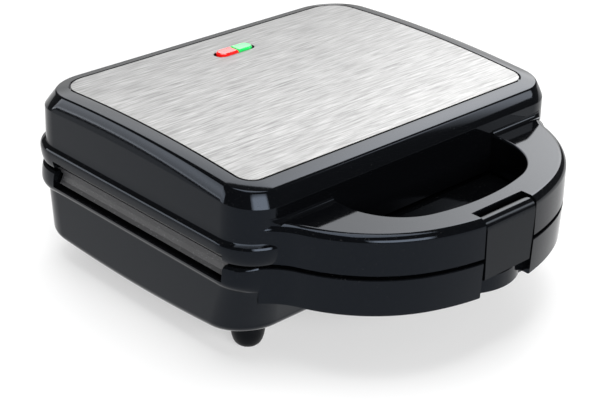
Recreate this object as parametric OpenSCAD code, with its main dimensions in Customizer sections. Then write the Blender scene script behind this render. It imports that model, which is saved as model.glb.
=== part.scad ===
// Two-slice sandwich toaster: a hinged clamshell on four pegs, with a split front handle and a
// clip. Built in millimetres, seen from the front with +X to the right, +Y to the back, +Z up.

/* [Housings] */
// Half width of both housings at the parting gap
body_half_w = 121; // [115:0.5:130]
// Distance from the trim's centre to the front wall
body_front = 95.5; // [92:0.5:102]
// Distance from the trim's centre to the back wall
body_back = 92.5; // [90:0.5:100]
// Plan radius of the front corners
front_corner_r = 22.5; // [20:0.5:28]
// Plan radius of the back corners
back_corner_r = 24; // [20:0.5:30]
// Height of the plane in which the cooking plates meet
parting_z = 61; // [58:0.5:66]
// Gap between the two housings
parting_gap = 2; // [1.4:0.1:3]
// Height of the lower housing's crowned bottom above the table, at its lowest
bottom_z = 12.8; // [11:0.2:14]
// Wall thickness of the housings
wall = 2.6; // [2:0.1:3.2]
// Radius of the lower housing's bottom edge
bottom_edge_r = 5; // [4:0.5:6]
// How far the lower housing's front wall leans in towards its bottom
front_lean = 6.4; // [3:0.2:7]
// Plan radius of the lower housing's front corners at its bottom
bottom_front_r = 25.5; // [22:0.5:28]
// Plan radius of the lower housing's back corners at its bottom
bottom_back_r = 32; // [24:0.5:34]
// How far the rims stand out from the walls
rim_out = 3; // [1.5:0.1:3.6]
// Height of the middle of the lid's rim above the parting plane
lid_rim_up = 9.6; // [9:0.1:11]
// Depth of the middle of the base's rim below the parting plane
base_rim_down = 9.6; // [9:0.1:11]

/* [Top trim] */
// Width of the brushed metal trim
trim_w = 215; // [205:1:220]
// Depth of the brushed metal trim
trim_d = 160; // [150:1:164]
// Front corner radius of the trim
trim_front_r = 9; // [6:0.5:14]
// Back corner radius of the trim
trim_back_r = 17; // [12:0.5:22]
// Thickness of the trim sheet
trim_t = 0.6; // [0.4:0.1:1]
// Height of the crest of the trim above the parting plane
trim_top_up = 45.9; // [44:0.1:52]
// Radius of the crowned top from front to back
crown_r = 940; // [700:10:2000]
// Distance of the crown's crest behind the trim's centre
crown_y = 11; // [0:1:20]

/* [Handle] */
// Distance from the trim's centre to the front of the handle
handle_front = 164; // [156:0.5:172]
// Radius of the handle's front curve
handle_front_r = 134; // [120:1:160]
// Radius of the handle's shoulder curves
handle_shoulder_r = 88; // [80:1:92]
// Angle over which the front curve runs to each side
handle_front_angle = 21; // [18:0.5:23]
// Radius of the hollow curves between handle and corners
handle_root_r = 34; // [26:1:44]
// Height of the handle's top above the parting plane
handle_up = 23.3; // [20:0.1:26]
// Depth of the handle's bottom below the parting plane
handle_down = 21; // [18:0.1:24]
// Rounding of the handle's outer top edge
handle_edge_r = 4.6; // [3:0.1:6]
// Half width of the finger opening
grip_half_w = 62; // [54:0.5:68]
// Width of the handle bar in front of the finger opening
grip_bar = 21; // [19:0.5:26]
// Radius of the finger opening's front curve
grip_front_r = 136; // [120:1:160]
// Radius of the finger opening's corners
grip_corner_r = 37; // [30:0.5:42]

/* [Latch] */
// Width of the latch at the top
latch_w = 38; // [32:0.5:44]
// Narrowing of the latch from top to bottom
latch_taper = 2.4; // [0:0.1:4]
// Thickness of the latch plate
latch_t = 3; // [2.4:0.1:3.6]
// Radius of the latch barrel
barrel_r = 5; // [4.4:0.1:5.2]
// Radius of the latch pin
latch_pin_r = 1.5; // [1.2:0.05:1.8]
// Distance of the latch face behind the front of the handle
latch_set_back = 1.4; // [0.8:0.1:2]
// Depth of the latch's lower edge below the parting plane
latch_down = 12.5; // [11:0.1:14]
// Free gap on each side of the latch
latch_side_gap = 0.9; // [0.6:0.1:1.4]
// Free depth behind the latch plate
latch_room = 6.8; // [6.4:0.1:7.4]
// How far the catch lip stands out from the wall behind the latch
catch_lip = 4.2; // [3.8:0.1:4.6]

/* [Hinge] */
// Distance from the trim's centre to the hinge axis
hinge_y = 100.5; // [98:0.5:104]
// Distance of each hinge from the middle
hinge_x = 70; // [60:1:80]
// Radius of the hinge knuckles
knuckle_r = 6; // [5:0.1:6.4]
// Width of the lid's knuckle
knuckle_w = 11; // [8:0.5:14]
// Width of each ear on the base
ear_w = 6; // [5:0.5:8]
// Radius of the hinge pins
hinge_pin_r = 2; // [1.6:0.1:2.5]

/* [Cooking plates] */
// Thickness of the plates' rims
plate_t = 2.5; // [2:0.1:3]
// Depth of the triangular pockets
pocket_depth = 14; // [11:0.5:15]
// Thickness of the pocket walls
pocket_wall = 3; // [2.4:0.1:3.4]
// Width of one sandwich field, left to right
field_w = 98; // [90:1:100]
// Depth of one sandwich field, front to back
field_d = 124; // [116:1:125]
// Distance of the sandwich fields' inner edges from the middle
field_x = 5.5; // [5:0.5:8]
// Distance of the fields' middle from the trim's centre
field_y = -1; // [-3:0.5:2]
// Width of the sealing ridge along the diagonal
ridge_w = 9; // [7:0.5:12]
// Gap between the closed plates
plate_gap = 0.6; // [0.4:0.1:1]

/* [Inside] */
// Radius of the tubular heaters
heater_r = 3.3; // [3:0.1:3.6]
// Half distance between the heater's legs
heater_half_w = 50; // [40:1:56]
// Bend radius of the heaters
heater_bend_r = 18; // [14:1:24]
// Thickness of the reflector sheets
reflector_t = 0.8; // [0.5:0.1:1]
// Height of the reflectors' rims
reflector_rim = 11; // [8:0.5:12]
// Thickness of the heater clamp bars
clamp_t = 1.5; // [1:0.1:2]
// Distance of the plate screws from the middle
screw_x = 52; // [48:1:56]
// Distance of the front plate screws from the trim's centre
screw_front = 73; // [72:0.5:75]
// Distance of the back plate screws from the trim's centre
screw_back = 71; // [70:0.5:73]

/* [Feet and cord entry] */
// Upper radius of the feet
foot_top_r = 9.6; // [7:0.1:10]
// Lower radius of the feet
foot_tip_r = 6; // [4:0.5:7]
// Distance of the front feet from the middle
foot_front_x = 96.5; // [92:0.5:100]
// Distance of the front feet in front of the trim's centre
foot_front_y = 68.5; // [64:0.5:74]
// Distance of the back feet from the middle
foot_back_x = 88; // [80:1:92]
// Distance of the back feet behind the trim's centre
foot_back_y = 62; // [56:1:66]
// Distance of the cord gland from the middle
gland_x = 30; // [20:1:40]
// Height of the cord gland
gland_z = 32; // [28:1:38]
// Radius of the cord gland's bore
gland_bore_r = 3.6; // [3:0.1:4]

/* [Hidden] */
$fn = 96;
running_gap = 0.05;
seat_gap = 0.1;
corner_steps = 10;
side_steps = 4;
arc_steps = 9;
crown_sides = 1440;

lean_x = 1.5;

// Outlines are [half width, front, back, front radius, back radius]
body_outline = [body_half_w, -body_front, body_back, front_corner_r, back_corner_r];
bottom_outline = [
    body_half_w - lean_x, -body_front + front_lean, body_back - 0.3, bottom_front_r, bottom_back_r
];
trim_outline = [trim_w / 2, -trim_d / 2, trim_d / 2, trim_front_r, trim_back_r];

lid_bottom = parting_z + parting_gap / 2;
base_top = parting_z - parting_gap / 2;
lid_rim_z = parting_z + lid_rim_up;
base_rim_z = parting_z - base_rim_down;
trim_top = parting_z + trim_top_up;
recess_floor = trim_top - trim_t - 0.1;
wall_top = trim_top - 12;
wall_draft = 1.9;
ceiling = recess_floor - wall;
handle_top = parting_z + handle_up;
handle_bottom = parting_z - handle_down;

// Windows in the housings' sides, where the plates' skirts show
window_front = -78;
window_back = 66;
window_top = lid_rim_z - 3.7;
window_bottom = base_rim_z - 0.4;
window_x = body_half_w - 8;

// Latch and its notch
latch_face = -handle_front + latch_set_back;
barrel_y = latch_face + barrel_r + 0.2;
barrel_z = handle_top - 1.1 - barrel_r;
latch_bottom = parting_z - latch_down;
notch_half_w = latch_w / 2 + latch_side_gap;
notch_back = barrel_y + barrel_r + 0.8;
notch_wall = 4;
pin_end_x = notch_half_w + notch_wall + 0.5;
catch_wall = latch_face + latch_t + latch_room;
nose_clear = 0.3;
nose_reach = latch_t + latch_room - catch_lip - nose_clear;
nose_h = 2.8;
catch_half_w = 13;
catch_z = parting_z - 7.2;
catch_h = 4.6;
catch_face_h = 2.6;
thumb_r = 34;
thumb_apex = -handle_front + 2.4;
thumb_top = latch_bottom - latch_side_gap;

// Finger opening, and the cross ribs in the handle's hollow
grip_front = handle_front - grip_bar;
rib_at = [-76, -48, 48, 76];
rib_t = 1.8;

// Cooking plates, mirrored about the parting plane
plate_outline = grow(body_outline, -wall - 0.7);
plate_face = plate_gap / 2;
pocket_back = plate_face + pocket_depth + pocket_wall;
heater_depth = pocket_back + heater_r + seat_gap;
lug_depth = 10.9;
lug_r = 4.6;
boss_r = 5.4;
screw_r = 1.95;
screw_head_r = 3.8;
screw_head_h = 2.6;
screw_seat = 8;
screw_clear = 0.25;
cross_l = 4.4;
cross_w = 1;
cross_deep = 1.4;
clamp_y = 24;
clamp_boss_r = 4;
clamp_half = heater_half_w + 9;
reflector_depth = heater_depth + heater_r + 2 * seat_gap + clamp_t + reflector_t;
reflector_clear = 0.6;
reflector_half_w = body_half_w - wall - wall_draft - reflector_clear;
reflector_front = -screw_front + boss_r + reflector_clear;
reflector_back = screw_back - boss_r - reflector_clear;
vent_r = 3;
vent_x = 80;
vent_pitch = 40;
heater_reach = 42;
heater_front = -heater_reach;
heater_back = heater_reach + 4;
heater_end_r = 2.4;
heater_end = 5;
heater_pin_r = 1.2;
heater_pin = 8;
clamp_w = 12;
screw_bite = 7.4;

// Thermostat and thermal fuse against the backs of the lower plate's pockets
thermostat_at = [26, 8];
thermostat_r = 8;
thermostat_h = 8;
tab_x = 4.5;
tab_t = 0.8;
tab_w = 6;
tab_l = 6;
fuse_at = [-26, 6];
fuse_r = 3;
fuse_l = 18;
fuse_wire_r = 0.6;
fuse_wire_l = 10;

// Feet
foot_at = [
    [foot_front_x, -foot_front_y], [-foot_front_x, -foot_front_y],
    [foot_back_x, foot_back_y], [-foot_back_x, foot_back_y]
];
function foot_seat(p) = bottom_at(p[1]) - 0.9;
foot_stud_r = 3;
foot_stud_h = 5;
screw_at = [for (sx = [-1, 1]) each [[sx * screw_x, -screw_front], [sx * screw_x, screw_back]]];

// Cord gland
gland_seat = body_back - 1.4;
gland_neck_r = gland_bore_r + 2;
gland_flange_r = gland_bore_r + 4.6;
gland_flange_t = 3;

// Terminal block and its seat on the floor
block_l = 33;
block_w = 16;
block_h = 9;
block_barrel_w = 8;
block_barrel_h = 13;
block_y = 50;
block_seat_t = 2.5;
block_z = bottom_at(block_y + block_w) + wall + 0.6;

// Lamp window in the trim
lamp_y = 53.5;
lamp_slot_l = 29;
lamp_slot_w = 9.6;
lens_l = 12.6;
lens_w = 8.6;
lens_gap = 0.3;
lens_proud = 1.6;
lens_bevel = 1.3;
lens_flange = 1.5;
lens_flange_t = 2;
holder_l = 2 * lens_l + 4;
holder_w = 12;
holder_h = 7;
holder_wall = 1.4;
cell_l = (holder_l - 3 * holder_wall) / 2;
lamp_r = 2;
lamp_l = 9;
lamp_top = trim_top + crown(lamp_y);
holder_bottom = ceiling + crown(lamp_y) - 3 - holder_h;

// The origin is under the middle of the closed toaster's box
front_reach = max(-latch_face, -handle_curve_y(notch_half_w));
rear_reach = hinge_y + knuckle_r;
shift_y = (front_reach - rear_reach) / 2;

// Outline, loft and arc helpers

function grow(o, d) = [o[0] + d, o[1] - d, o[2] + d, o[3] + d, o[4] + d];
function mix(a, b, t) = a * (1 - t) + b * t;
function crown(y) = sqrt(crown_r * crown_r - (y - crown_y) * (y - crown_y)) - crown_r;
function bottom_at(y) = bottom_z - crown(y);
function handle_curve_y(x) = -handle_front + handle_front_r - sqrt(handle_front_r * handle_front_r - x * x);
function mirrored(half) = concat(
    half, [for (i = [len(half) - 1:-1:0]) [-half[i][0], half[i][1]]]
);
function arc(c, r, a0, a1, n) = [
    for (i = [0:n]) c + r * [cos(a0 + (a1 - a0) * i / n), sin(a0 + (a1 - a0) * i / n)]
];

// Right half of a rounded outline, from the front edge round to the back edge
function outline_half(o) = concat(
    arc([o[0] - o[3], o[1] + o[3]], o[3], -90, 0, corner_steps),
    [for (i = [1:side_steps - 1]) [o[0], mix(o[1] + o[3], o[2] - o[4], i / side_steps)]],
    arc([o[0] - o[4], o[2] - o[4]], o[4], 0, 90, corner_steps)
);
// Share of the rim round an outline: it fades out on the front corners, from angle a1 to a0
function rim_share(a0, a1) = let (half = concat(
    [for (i = [0:corner_steps]) smooth(min(1, max(0, (90 * i / corner_steps - a0) / (a1 - a0))))],
    [for (i = [1:side_steps + corner_steps]) 1]
)) concat(half, [for (i = [len(half) - 1:-1:0]) half[i]]);
function smooth(t) = t * t * (3 - 2 * t);
lid_rim = rim_share(2, 20);
base_rim = rim_share(15, 80);

// One ring of a housing: a level is [outline, height, share of the crown, rim]
function ring(level, rim = lid_rim) = let (
    p = mirrored(outline_half(level[0])),
    q = mirrored(outline_half(grow(level[0], level[3])))
) [
    for (i = [0:len(p) - 1])
    let (xy = mix(p[i], q[i], rim[i]))
    [xy[0], xy[1], level[1] + level[2] * crown(xy[1])]
];

// Skin through rings of as many points each, capped in strips from left to right
module loft(rings) {
    n = len(rings[0]);
    m = len(rings);
    top = (m - 1) * n;
    sides = [
        for (k = [0:m - 2]) for (i = [0:n - 1])
        [k * n + i, (k + 1) * n + i, (k + 1) * n + (i + 1) % n, k * n + (i + 1) % n]
    ];
    caps = [
        for (i = [0:n / 2 - 2]) each [
            [i, i + 1, n - 2 - i, n - 1 - i],
            [top + n - 1 - i, top + n - 2 - i, top + i + 1, top + i]
        ]
    ];
    polyhedron(points = [for (r = rings) each r], faces = concat(sides, caps), convexity = 8);
}

module placed() translate([0, shift_y, 0]) children();

// Rounded bead on a wall: [height, how far out] from below to above
rim_profile = [[-3.6, 0.15], [-2.9, 0.6], [-1.6, 0.93], [0, 1], [1.6, 0.85], [2.9, 0.45], [3.9, 0.05]];

// Housing skins

module lid_outside() {
    edge = grow(trim_outline, 0.9);
    wall_outline = grow(body_outline, -wall_draft);
    loft([for (level = concat(
        [[grow(body_outline, -0.5), lid_bottom, 0, 0], [body_outline, lid_bottom + 0.5, 0, 0]],
        [for (b = rim_profile) [grow(body_outline, -0.03 * (b[0] + 4)), lid_rim_z + b[0], 0, rim_out * b[1]]],
        [[wall_outline, wall_top, 0.6, 0]],
        [for (a = [15:15:90])
            [mix(wall_outline, edge, 1 - cos(a)), mix(wall_top, trim_top, sin(a)), mix(0.6, 1, sin(a)), 0]],
        [[grow(trim_outline, 0.4), trim_top - 0.2, 1, 0], [grow(trim_outline, 0.4), recess_floor, 1, 0]]
    )) ring(level)]);
}

module lid_inside() {
    inner = grow(body_outline, -wall);
    inner_top = grow(inner, -wall_draft);
    inner_edge = grow(trim_outline, -1.5);
    loft([for (level = concat(
        [[inner, lid_bottom - 1, 0, 0], [inner_top, wall_top, 0.6, 0]],
        [for (a = [30:30:90])
            [mix(inner_top, inner_edge, 1 - cos(a)), mix(wall_top, ceiling, sin(a)), mix(0.6, 1, sin(a)), 0]]
    )) ring(level)]);
}

module base_outside() {
    r = bottom_edge_r;
    loft([for (level = concat(
        [for (a = [0:18:90])
            [grow(bottom_outline, -r * (1 - sin(a))), bottom_z + r * (1 - cos(a)), -1, 0]],
        [[grow(body_outline, -0.8), base_rim_z - 5.5, 0, 0]],
        [for (b = rim_profile)
            [grow(body_outline, -0.6), base_rim_z + b[0] * (b[0] > 0 ? 1.6 : 1), 0, (rim_out + 0.6) * b[1]]],
        [[grow(body_outline, -0.2), base_top - 0.6, 0, 0], [grow(body_outline, -0.7), base_top, 0, 0]]
    )) ring(level, base_rim)]);
}

module base_inside() {
    r = bottom_edge_r - wall;
    inner = grow(bottom_outline, -wall);
    loft([for (level = concat(
        [for (a = [0:30:90]) [grow(inner, -r * (1 - sin(a))), bottom_z + wall + r * (1 - cos(a)), -1, 0]],
        [[grow(body_outline, -0.8 - wall), base_rim_z - 5, 0, 0]],
        [[grow(body_outline, -wall), base_top + 1, 0, 0]]
    )) ring(level)]);
}

// Side windows for the plates' skirts
module windows(z0, z1) {
    for (side = [-1, 1])
        translate([side * (window_x + 10) - 10, window_front, z0])
            cube([20, window_back - window_front, z1 - z0]);
}

// Handle outlines

corner_centre = [body_half_w - front_corner_r, -body_front + front_corner_r];
front_centre = [0, -handle_front + handle_front_r];
shoulder_centre = front_centre
    + (handle_front_r - handle_shoulder_r) * [sin(handle_front_angle), -cos(handle_front_angle)];
root_to_shoulder = handle_shoulder_r + handle_root_r;
root_to_corner = front_corner_r + handle_root_r;
centre_span = norm(corner_centre - shoulder_centre);
span_dir = (corner_centre - shoulder_centre) / centre_span;
span_along = (root_to_shoulder * root_to_shoulder - root_to_corner * root_to_corner
    + centre_span * centre_span) / (2 * centre_span);
span_off = sqrt(root_to_shoulder * root_to_shoulder - span_along * span_along);
root_centre = shoulder_centre + span_along * span_dir + span_off * [span_dir[1], -span_dir[0]];
root_from_shoulder = root_centre - shoulder_centre;
root_from_corner = root_centre - corner_centre;
shoulder_end = atan2(root_from_shoulder[1], root_from_shoulder[0]);
root_end = atan2(-root_from_corner[1], -root_from_corner[0]);

// Right half of the handle's plan, moved in by t, ending inside the front corner
function handle_half(t) = concat(
    [for (i = [0.5:arc_steps - 0.5])
        let (a = handle_front_angle * i / arc_steps)
        front_centre + (handle_front_r - t) * [sin(a), -cos(a)]],
    arc(shoulder_centre, handle_shoulder_r - t, handle_front_angle - 90, shoulder_end, arc_steps),
    arc(root_centre, handle_root_r + t, shoulder_end + 180, root_end, arc_steps),
    [corner_centre]
);

grip_corner_x = grip_half_w - grip_corner_r;
grip_centre_y = -grip_front + grip_front_r;
grip_span = grip_front_r - grip_corner_r;
grip_corner_y = grip_centre_y - sqrt(grip_span * grip_span - grip_corner_x * grip_corner_x);
grip_angle = asin(grip_corner_x / grip_span);

// Right half of the finger opening, moved out by t, running into the front wall
function grip_half(t) = concat(
    [for (i = [0.5:arc_steps - 0.5])
        let (a = grip_angle * i / arc_steps)
        [0, grip_centre_y] + (grip_front_r + t) * [sin(a), -cos(a)]],
    arc([grip_corner_x, grip_corner_y], grip_corner_r + t, grip_angle - 90, 0, arc_steps),
    [[grip_half_w + t, -body_front + 6]]
);

function at_height(half, z) = [for (p = mirrored(half)) [p[0], p[1], z]];

module lid_handle_outside() {
    top = handle_top;
    loft(concat(
        [at_height(handle_half(0.4), lid_bottom), at_height(handle_half(0), lid_bottom + 0.4)],
        [for (a = [0:22.5:90])
            at_height(handle_half(0.3 + handle_edge_r * (1 - cos(a))), top - handle_edge_r * (1 - sin(a)))]
    ));
}

module grip_opening() {
    loft([
        at_height(grip_half(0.5), lid_bottom - 1),
        at_height(grip_half(0), handle_top - 1.6),
        at_height(grip_half(0.4), handle_top - 0.6),
        at_height(grip_half(1.9), handle_top + 0.5)
    ]);
}

module base_handle_outside() {
    loft([
        at_height(handle_half(1.6), handle_bottom),
        at_height(handle_half(0.6), handle_bottom + 1),
        at_height(handle_half(0), base_top - 0.5),
        at_height(handle_half(0.4), base_top)
    ]);
}

// Hollow of a handle half, with the notch's walls and the cross ribs left standing
module handle_hollow(inset, with_grip, z0, z1) {
    side = notch_half_w + notch_wall;
    translate([0, 0, z0]) linear_extrude(z1 - z0) difference() {
        polygon(mirrored(handle_half(inset)));
        if (with_grip) polygon(mirrored(grip_half(inset)));
        translate([-body_half_w, -body_front - wall]) square([2 * body_half_w, body_front]);
        translate([-side, -handle_front]) square([2 * side, handle_front + notch_back + wall]);
        for (x = rib_at) translate([x - rib_t / 2, -handle_front]) square([rib_t, handle_front]);
    }
}

// Mechanism shapes in the plane of Y and Z, drawn from x0 to x1

module across(x0, x1) {
    translate([x0, 0, 0]) rotate([90, 0, 90]) linear_extrude(x1 - x0) children();
}

module lid_notch() {
    across(-notch_half_w, notch_half_w) union() {
        translate([-handle_front - 5, lid_bottom - 1])
            square([handle_front + 5 + catch_wall, handle_up + 5]);
        translate([-handle_front - 5, barrel_z - barrel_r - 0.6])
            square([handle_front + 5 + notch_back, handle_up]);
    }
}

module base_notch() {
    across(-notch_half_w, notch_half_w)
        translate([-handle_front - 5, thumb_top])
            square([handle_front + 5 + catch_wall, base_top - thumb_top + 1]);
    difference() {
        translate([-notch_half_w, -handle_front - 5, handle_bottom - 1])
            cube([2 * notch_half_w, 5 + latch_t + latch_room, thumb_top - handle_bottom + 1]);
        translate([0, thumb_apex + thumb_r, handle_bottom - 2])
            cylinder(r = thumb_r, h = thumb_top - handle_bottom + 4);
    }
}

// Lip on the base's handle that the latch's nose snaps below
module catch_ridge() {
    across(-catch_half_w, catch_half_w) polygon([
        [catch_wall + 1, catch_z + catch_h], [catch_wall, catch_z + catch_h],
        [catch_wall - catch_lip, catch_z + catch_face_h], [catch_wall - catch_lip, catch_z],
        [catch_wall + 1, catch_z]
    ]);
}

module hinge_bore(x0, x1) {
    translate([x0, hinge_y, parting_z]) rotate([0, 90, 0])
        cylinder(r = hinge_pin_r + running_gap, h = x1 - x0);
}

module base_ears() {
    for (side = [-1, 1]) for (end = [-1, 1])
        let (x = side * hinge_x + end * (knuckle_w / 2 + 0.5 + ear_w / 2))
        across(x - ear_w / 2, x + ear_w / 2) union() {
            translate([hinge_y, parting_z]) circle(knuckle_r);
            polygon([
                [hinge_y + knuckle_r * cos(30), parting_z - knuckle_r * sin(30)],
                [hinge_y - knuckle_r * cos(60), parting_z + knuckle_r * sin(60) - 6],
                [body_back - 1.5, parting_z - 5], [body_back - 2, parting_z - 24],
                [hinge_y - 4, parting_z - 17]
            ]);
        }
}

module lid_knuckles() {
    for (side = [-1, 1])
        let (x = side * hinge_x)
        across(x - knuckle_w / 2, x + knuckle_w / 2) union() {
            translate([hinge_y, parting_z]) circle(knuckle_r);
            polygon([
                [hinge_y, parting_z + knuckle_r],
                [hinge_y - knuckle_r * cos(20), parting_z + knuckle_r * sin(20)],
                [body_back - 1.5, parting_z + 3], [body_back - 1.5, parting_z + 14],
                [body_back + 2, parting_z + 13]
            ]);
        }
}

// Cooking plates are drawn below the parting plane, at z = 0, and mirrored for the lid

// Corners of one pocket in a field at the origin, the first at its right angle
function pocket_corners(right) = let (g = ridge_w / 2 * norm([field_w, field_d]) / field_d,
    k = g * field_d / field_w)
    right ? [[field_w, field_d], [g, field_d], [field_w, k]]
          : [[0, 0], [field_w - g, 0], [0, field_d - k]];
function incentre(t) = let (a = norm(t[1] - t[2]), b = norm(t[2] - t[0]), c = norm(t[0] - t[1]))
    (a * t[0] + b * t[1] + c * t[2]) / (a + b + c);
function inradius(t) = let (a = norm(t[1] - t[2]), b = norm(t[2] - t[0]), c = norm(t[0] - t[1]),
    s = (a + b + c) / 2) sqrt((s - a) * (s - b) * (s - c) / s);
function inset_tri(t, d) = let (c = incentre(t), k = 1 - d / inradius(t)) [for (p = t) c + (p - c) * k];
function unit(v) = v / norm(v);
// Rounded triangle, corner by corner, anticlockwise
function round_tri(t, r) = [
    for (i = [0:2])
    let (p = t[i], u = unit(t[(i + 2) % 3] - p), v = unit(t[(i + 1) % 3] - p),
        half = acos(u * v) / 2, c = p + unit(u + v) * r / sin(half),
        a0 = atan2(-u[0], u[1]), sweep = 180 - 2 * half)
    each [for (k = [0:4]) c + r * [cos(a0 + 180 + sweep * k / 4), sin(a0 + 180 + sweep * k / 4)]]
];

module tri_loft(t, levels) {
    n = 15;
    m = len(levels);
    pts = [
        for (level = levels)
        each [for (p = round_tri(inset_tri(t, level[0]), level[2])) [p[0], p[1], level[1]]]
    ];
    sides = [
        for (k = [0:m - 2]) for (i = [0:n - 1])
        [k * n + i, (k + 1) * n + i, (k + 1) * n + (i + 1) % n, k * n + (i + 1) % n]
    ];
    polyhedron(
        points = pts,
        faces = concat(sides, [[for (i = [0:n - 1]) i], [for (i = [n - 1:-1:0]) (m - 1) * n + i]]),
        convexity = 4
    );
}

module each_pocket() {
    for (side = [-1, 1]) for (right = [false, true])
        translate([side * (field_x + field_w / 2), field_y, 0]) mirror([side < 0 ? 1 : 0, 0, 0])
            translate([-field_w / 2, -field_d / 2, 0]) children(right ? 1 : 0);
}

// Levels are [inset, height, corner radius]
module pocket_hollow(t) {
    f = -plate_face;
    tri_loft(t, [
        [11, f - pocket_depth, 5], [7.4, f - pocket_depth + 0.7, 5], [5.2, f - pocket_depth + 2.8, 5],
        [1.4, f - 1.6, 6], [0.4, f - 0.5, 6.4], [-1.2, f + 0.4, 7]
    ]);
}

module pocket_shell(t) {
    f = -plate_face;
    w = pocket_wall;
    tri_loft(t, [
        [8.4, f - pocket_depth - w, 6], [4.4, f - pocket_depth + 0.3 - w, 6],
        [2.2, f - pocket_depth + 2.4 - w, 6], [-1.2, f - plate_t + 0.8, 7]
    ]);
}

module plate(skirt) {
    difference() {
        union() {
            loft([for (z = [-plate_face - plate_t, -plate_face]) ring([plate_outline, z, 0, 0])]);
            each_pocket() {
                pocket_shell(pocket_corners(false));
                pocket_shell(pocket_corners(true));
            }
            for (p = screw_at) translate([p[0], p[1], -lug_depth]) cylinder(r = lug_r, h = lug_depth - 1);
            for (y = [-clamp_y, clamp_y]) translate([0, y, -heater_depth - heater_r])
                cylinder(r = clamp_boss_r, h = heater_depth + heater_r - 1);
            for (side = [0, 1]) mirror([side, 0, 0])
                translate([0, window_back - 1.5, 0]) rotate([90, 0, 0])
                    linear_extrude(window_back - window_front - 3) polygon(skirt);
        }
        each_pocket() {
            pocket_hollow(pocket_corners(false));
            pocket_hollow(pocket_corners(true));
        }
        for (p = screw_at) translate([p[0], p[1], -lug_depth - 1])
            cylinder(r = screw_r + running_gap, h = screw_bite + 1.6);
        for (y = [-clamp_y, clamp_y]) translate([0, y, -heater_depth - heater_r - 1])
            cylinder(r = screw_r + running_gap, h = screw_bite + 2.6);
    }
}

skirt_x = plate_outline[0];
lower_skirt = [
    [skirt_x - 1.5, -plate_face], [skirt_x - 0.1, -plate_face], [skirt_x + 0.4, -3.4],
    [skirt_x + 1.5, -6.2], [skirt_x + 2.9, -8], [skirt_x + 2.3, -8.5], [skirt_x + 0.6, -6.6],
    [skirt_x - 0.7, -3.6], [skirt_x - 1.5, -2.4]
];
upper_skirt = [
    [skirt_x - 1.5, -plate_face], [skirt_x - 0.1, -plate_face], [skirt_x + 0.3, -2.9], [skirt_x + 1.1, -5],
    [skirt_x + 0.6, -5.3], [skirt_x - 0.7, -3.2], [skirt_x - 1.5, -2.4]
];

// Bent tubular heater lying on the pockets' backs, open to the rear
module heater() {
    z = -heater_depth;
    bend = heater_bend_r;
    w = heater_half_w;
    for (side = [0, 1]) mirror([side, 0, 0]) {
        translate([w, heater_front + bend, z]) rotate([-90, 0, 0])
            cylinder(r = heater_r, h = heater_back - heater_front - bend);
        translate([w - bend, heater_front + bend, z]) rotate([0, 0, -90])
            rotate_extrude(angle = 90) translate([bend, 0]) circle(heater_r);
        translate([w, heater_back, z]) rotate([-90, 0, 0]) {
            cylinder(r = heater_end_r, h = heater_end);
            translate([0, 0, heater_end]) cylinder(r = heater_pin_r, h = heater_pin);
        }
    }
    translate([-w + bend, heater_front, z]) rotate([0, 90, 0]) cylinder(r = heater_r, h = 2 * (w - bend));
}

module heater_clamps() {
    z = -heater_depth - heater_r - seat_gap - clamp_t;
    for (y = [-clamp_y, clamp_y]) translate([0, y, z]) difference() {
        translate([-clamp_half, -clamp_w / 2, 0]) cube([2 * clamp_half, clamp_w, clamp_t]);
        translate([0, 0, -1]) cylinder(r = screw_r + screw_clear, h = clamp_t + 2);
    }
}

// Pan head screw with its head below the seat at z = 0 and its shank going up
module screw(shank) {
    difference() {
        union() {
            translate([0, 0, -screw_head_h])
                cylinder(r1 = screw_head_r - 0.8, r2 = screw_head_r, h = screw_head_h);
            cylinder(r = screw_r, h = shank);
        }
        for (a = [0, 90]) rotate([0, 0, a])
            translate([-cross_l / 2, -cross_w / 2, -screw_head_h - 1])
                cube([cross_l, cross_w, 1 + cross_deep]);
    }
}

module clamp_screws() {
    for (y = [-clamp_y, clamp_y])
        translate([0, y, -reflector_depth - seat_gap]) screw(reflector_t + clamp_t + screw_bite);
}

module plate_screws() {
    for (p = screw_at) translate([p[0], p[1], -lug_depth - seat_gap - screw_seat - seat_gap])
        screw(screw_seat + screw_bite);
}

// Folded reflector tray behind the heater, held by the clamp screws
module reflector() {
    t = reflector_t;
    size = [2 * reflector_half_w, reflector_back - reflector_front, reflector_rim];
    difference() {
        translate([-reflector_half_w, reflector_front, -reflector_depth]) cube(size);
        translate([-reflector_half_w + t, reflector_front + t, -reflector_depth + t])
            cube([size[0] - 2 * t, size[1] - 2 * t, size[2]]);
        for (y = [-clamp_y, clamp_y])
            translate([0, y, -reflector_depth - 1]) cylinder(r = screw_r + screw_clear, h = t + 2);
        for (x = [-vent_x, vent_x]) for (i = [-1:1])
            translate([x, i * vent_pitch, -reflector_depth - 1]) cylinder(r = vent_r, h = t + 2);
        translate([thermostat_at[0], thermostat_at[1], -reflector_depth - 1])
            cylinder(r = thermostat_r - 1, h = t + 2);
        for (side = [-1, 1])
            translate([side * heater_half_w, reflector_back + 1, -heater_depth]) rotate([90, 0, 0])
                cylinder(r = heater_r + 1.2, h = t + 2);
    }
}

// Tubular boss that carries a plate lug, from the housing's skin at z0 to its top at z1
module plate_boss(z0, z1) translate([0, 0, z0]) cylinder(r = boss_r, h = z1 - z0);
module plate_boss_bore(z0, z1) {
    translate([0, 0, z0 - 1]) cylinder(r = screw_head_r + 0.4, h = z1 - z0 - screw_seat + 1);
    translate([0, 0, z0]) cylinder(r = screw_r + screw_clear, h = z1 - z0 + 1);
}

// Base

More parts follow.
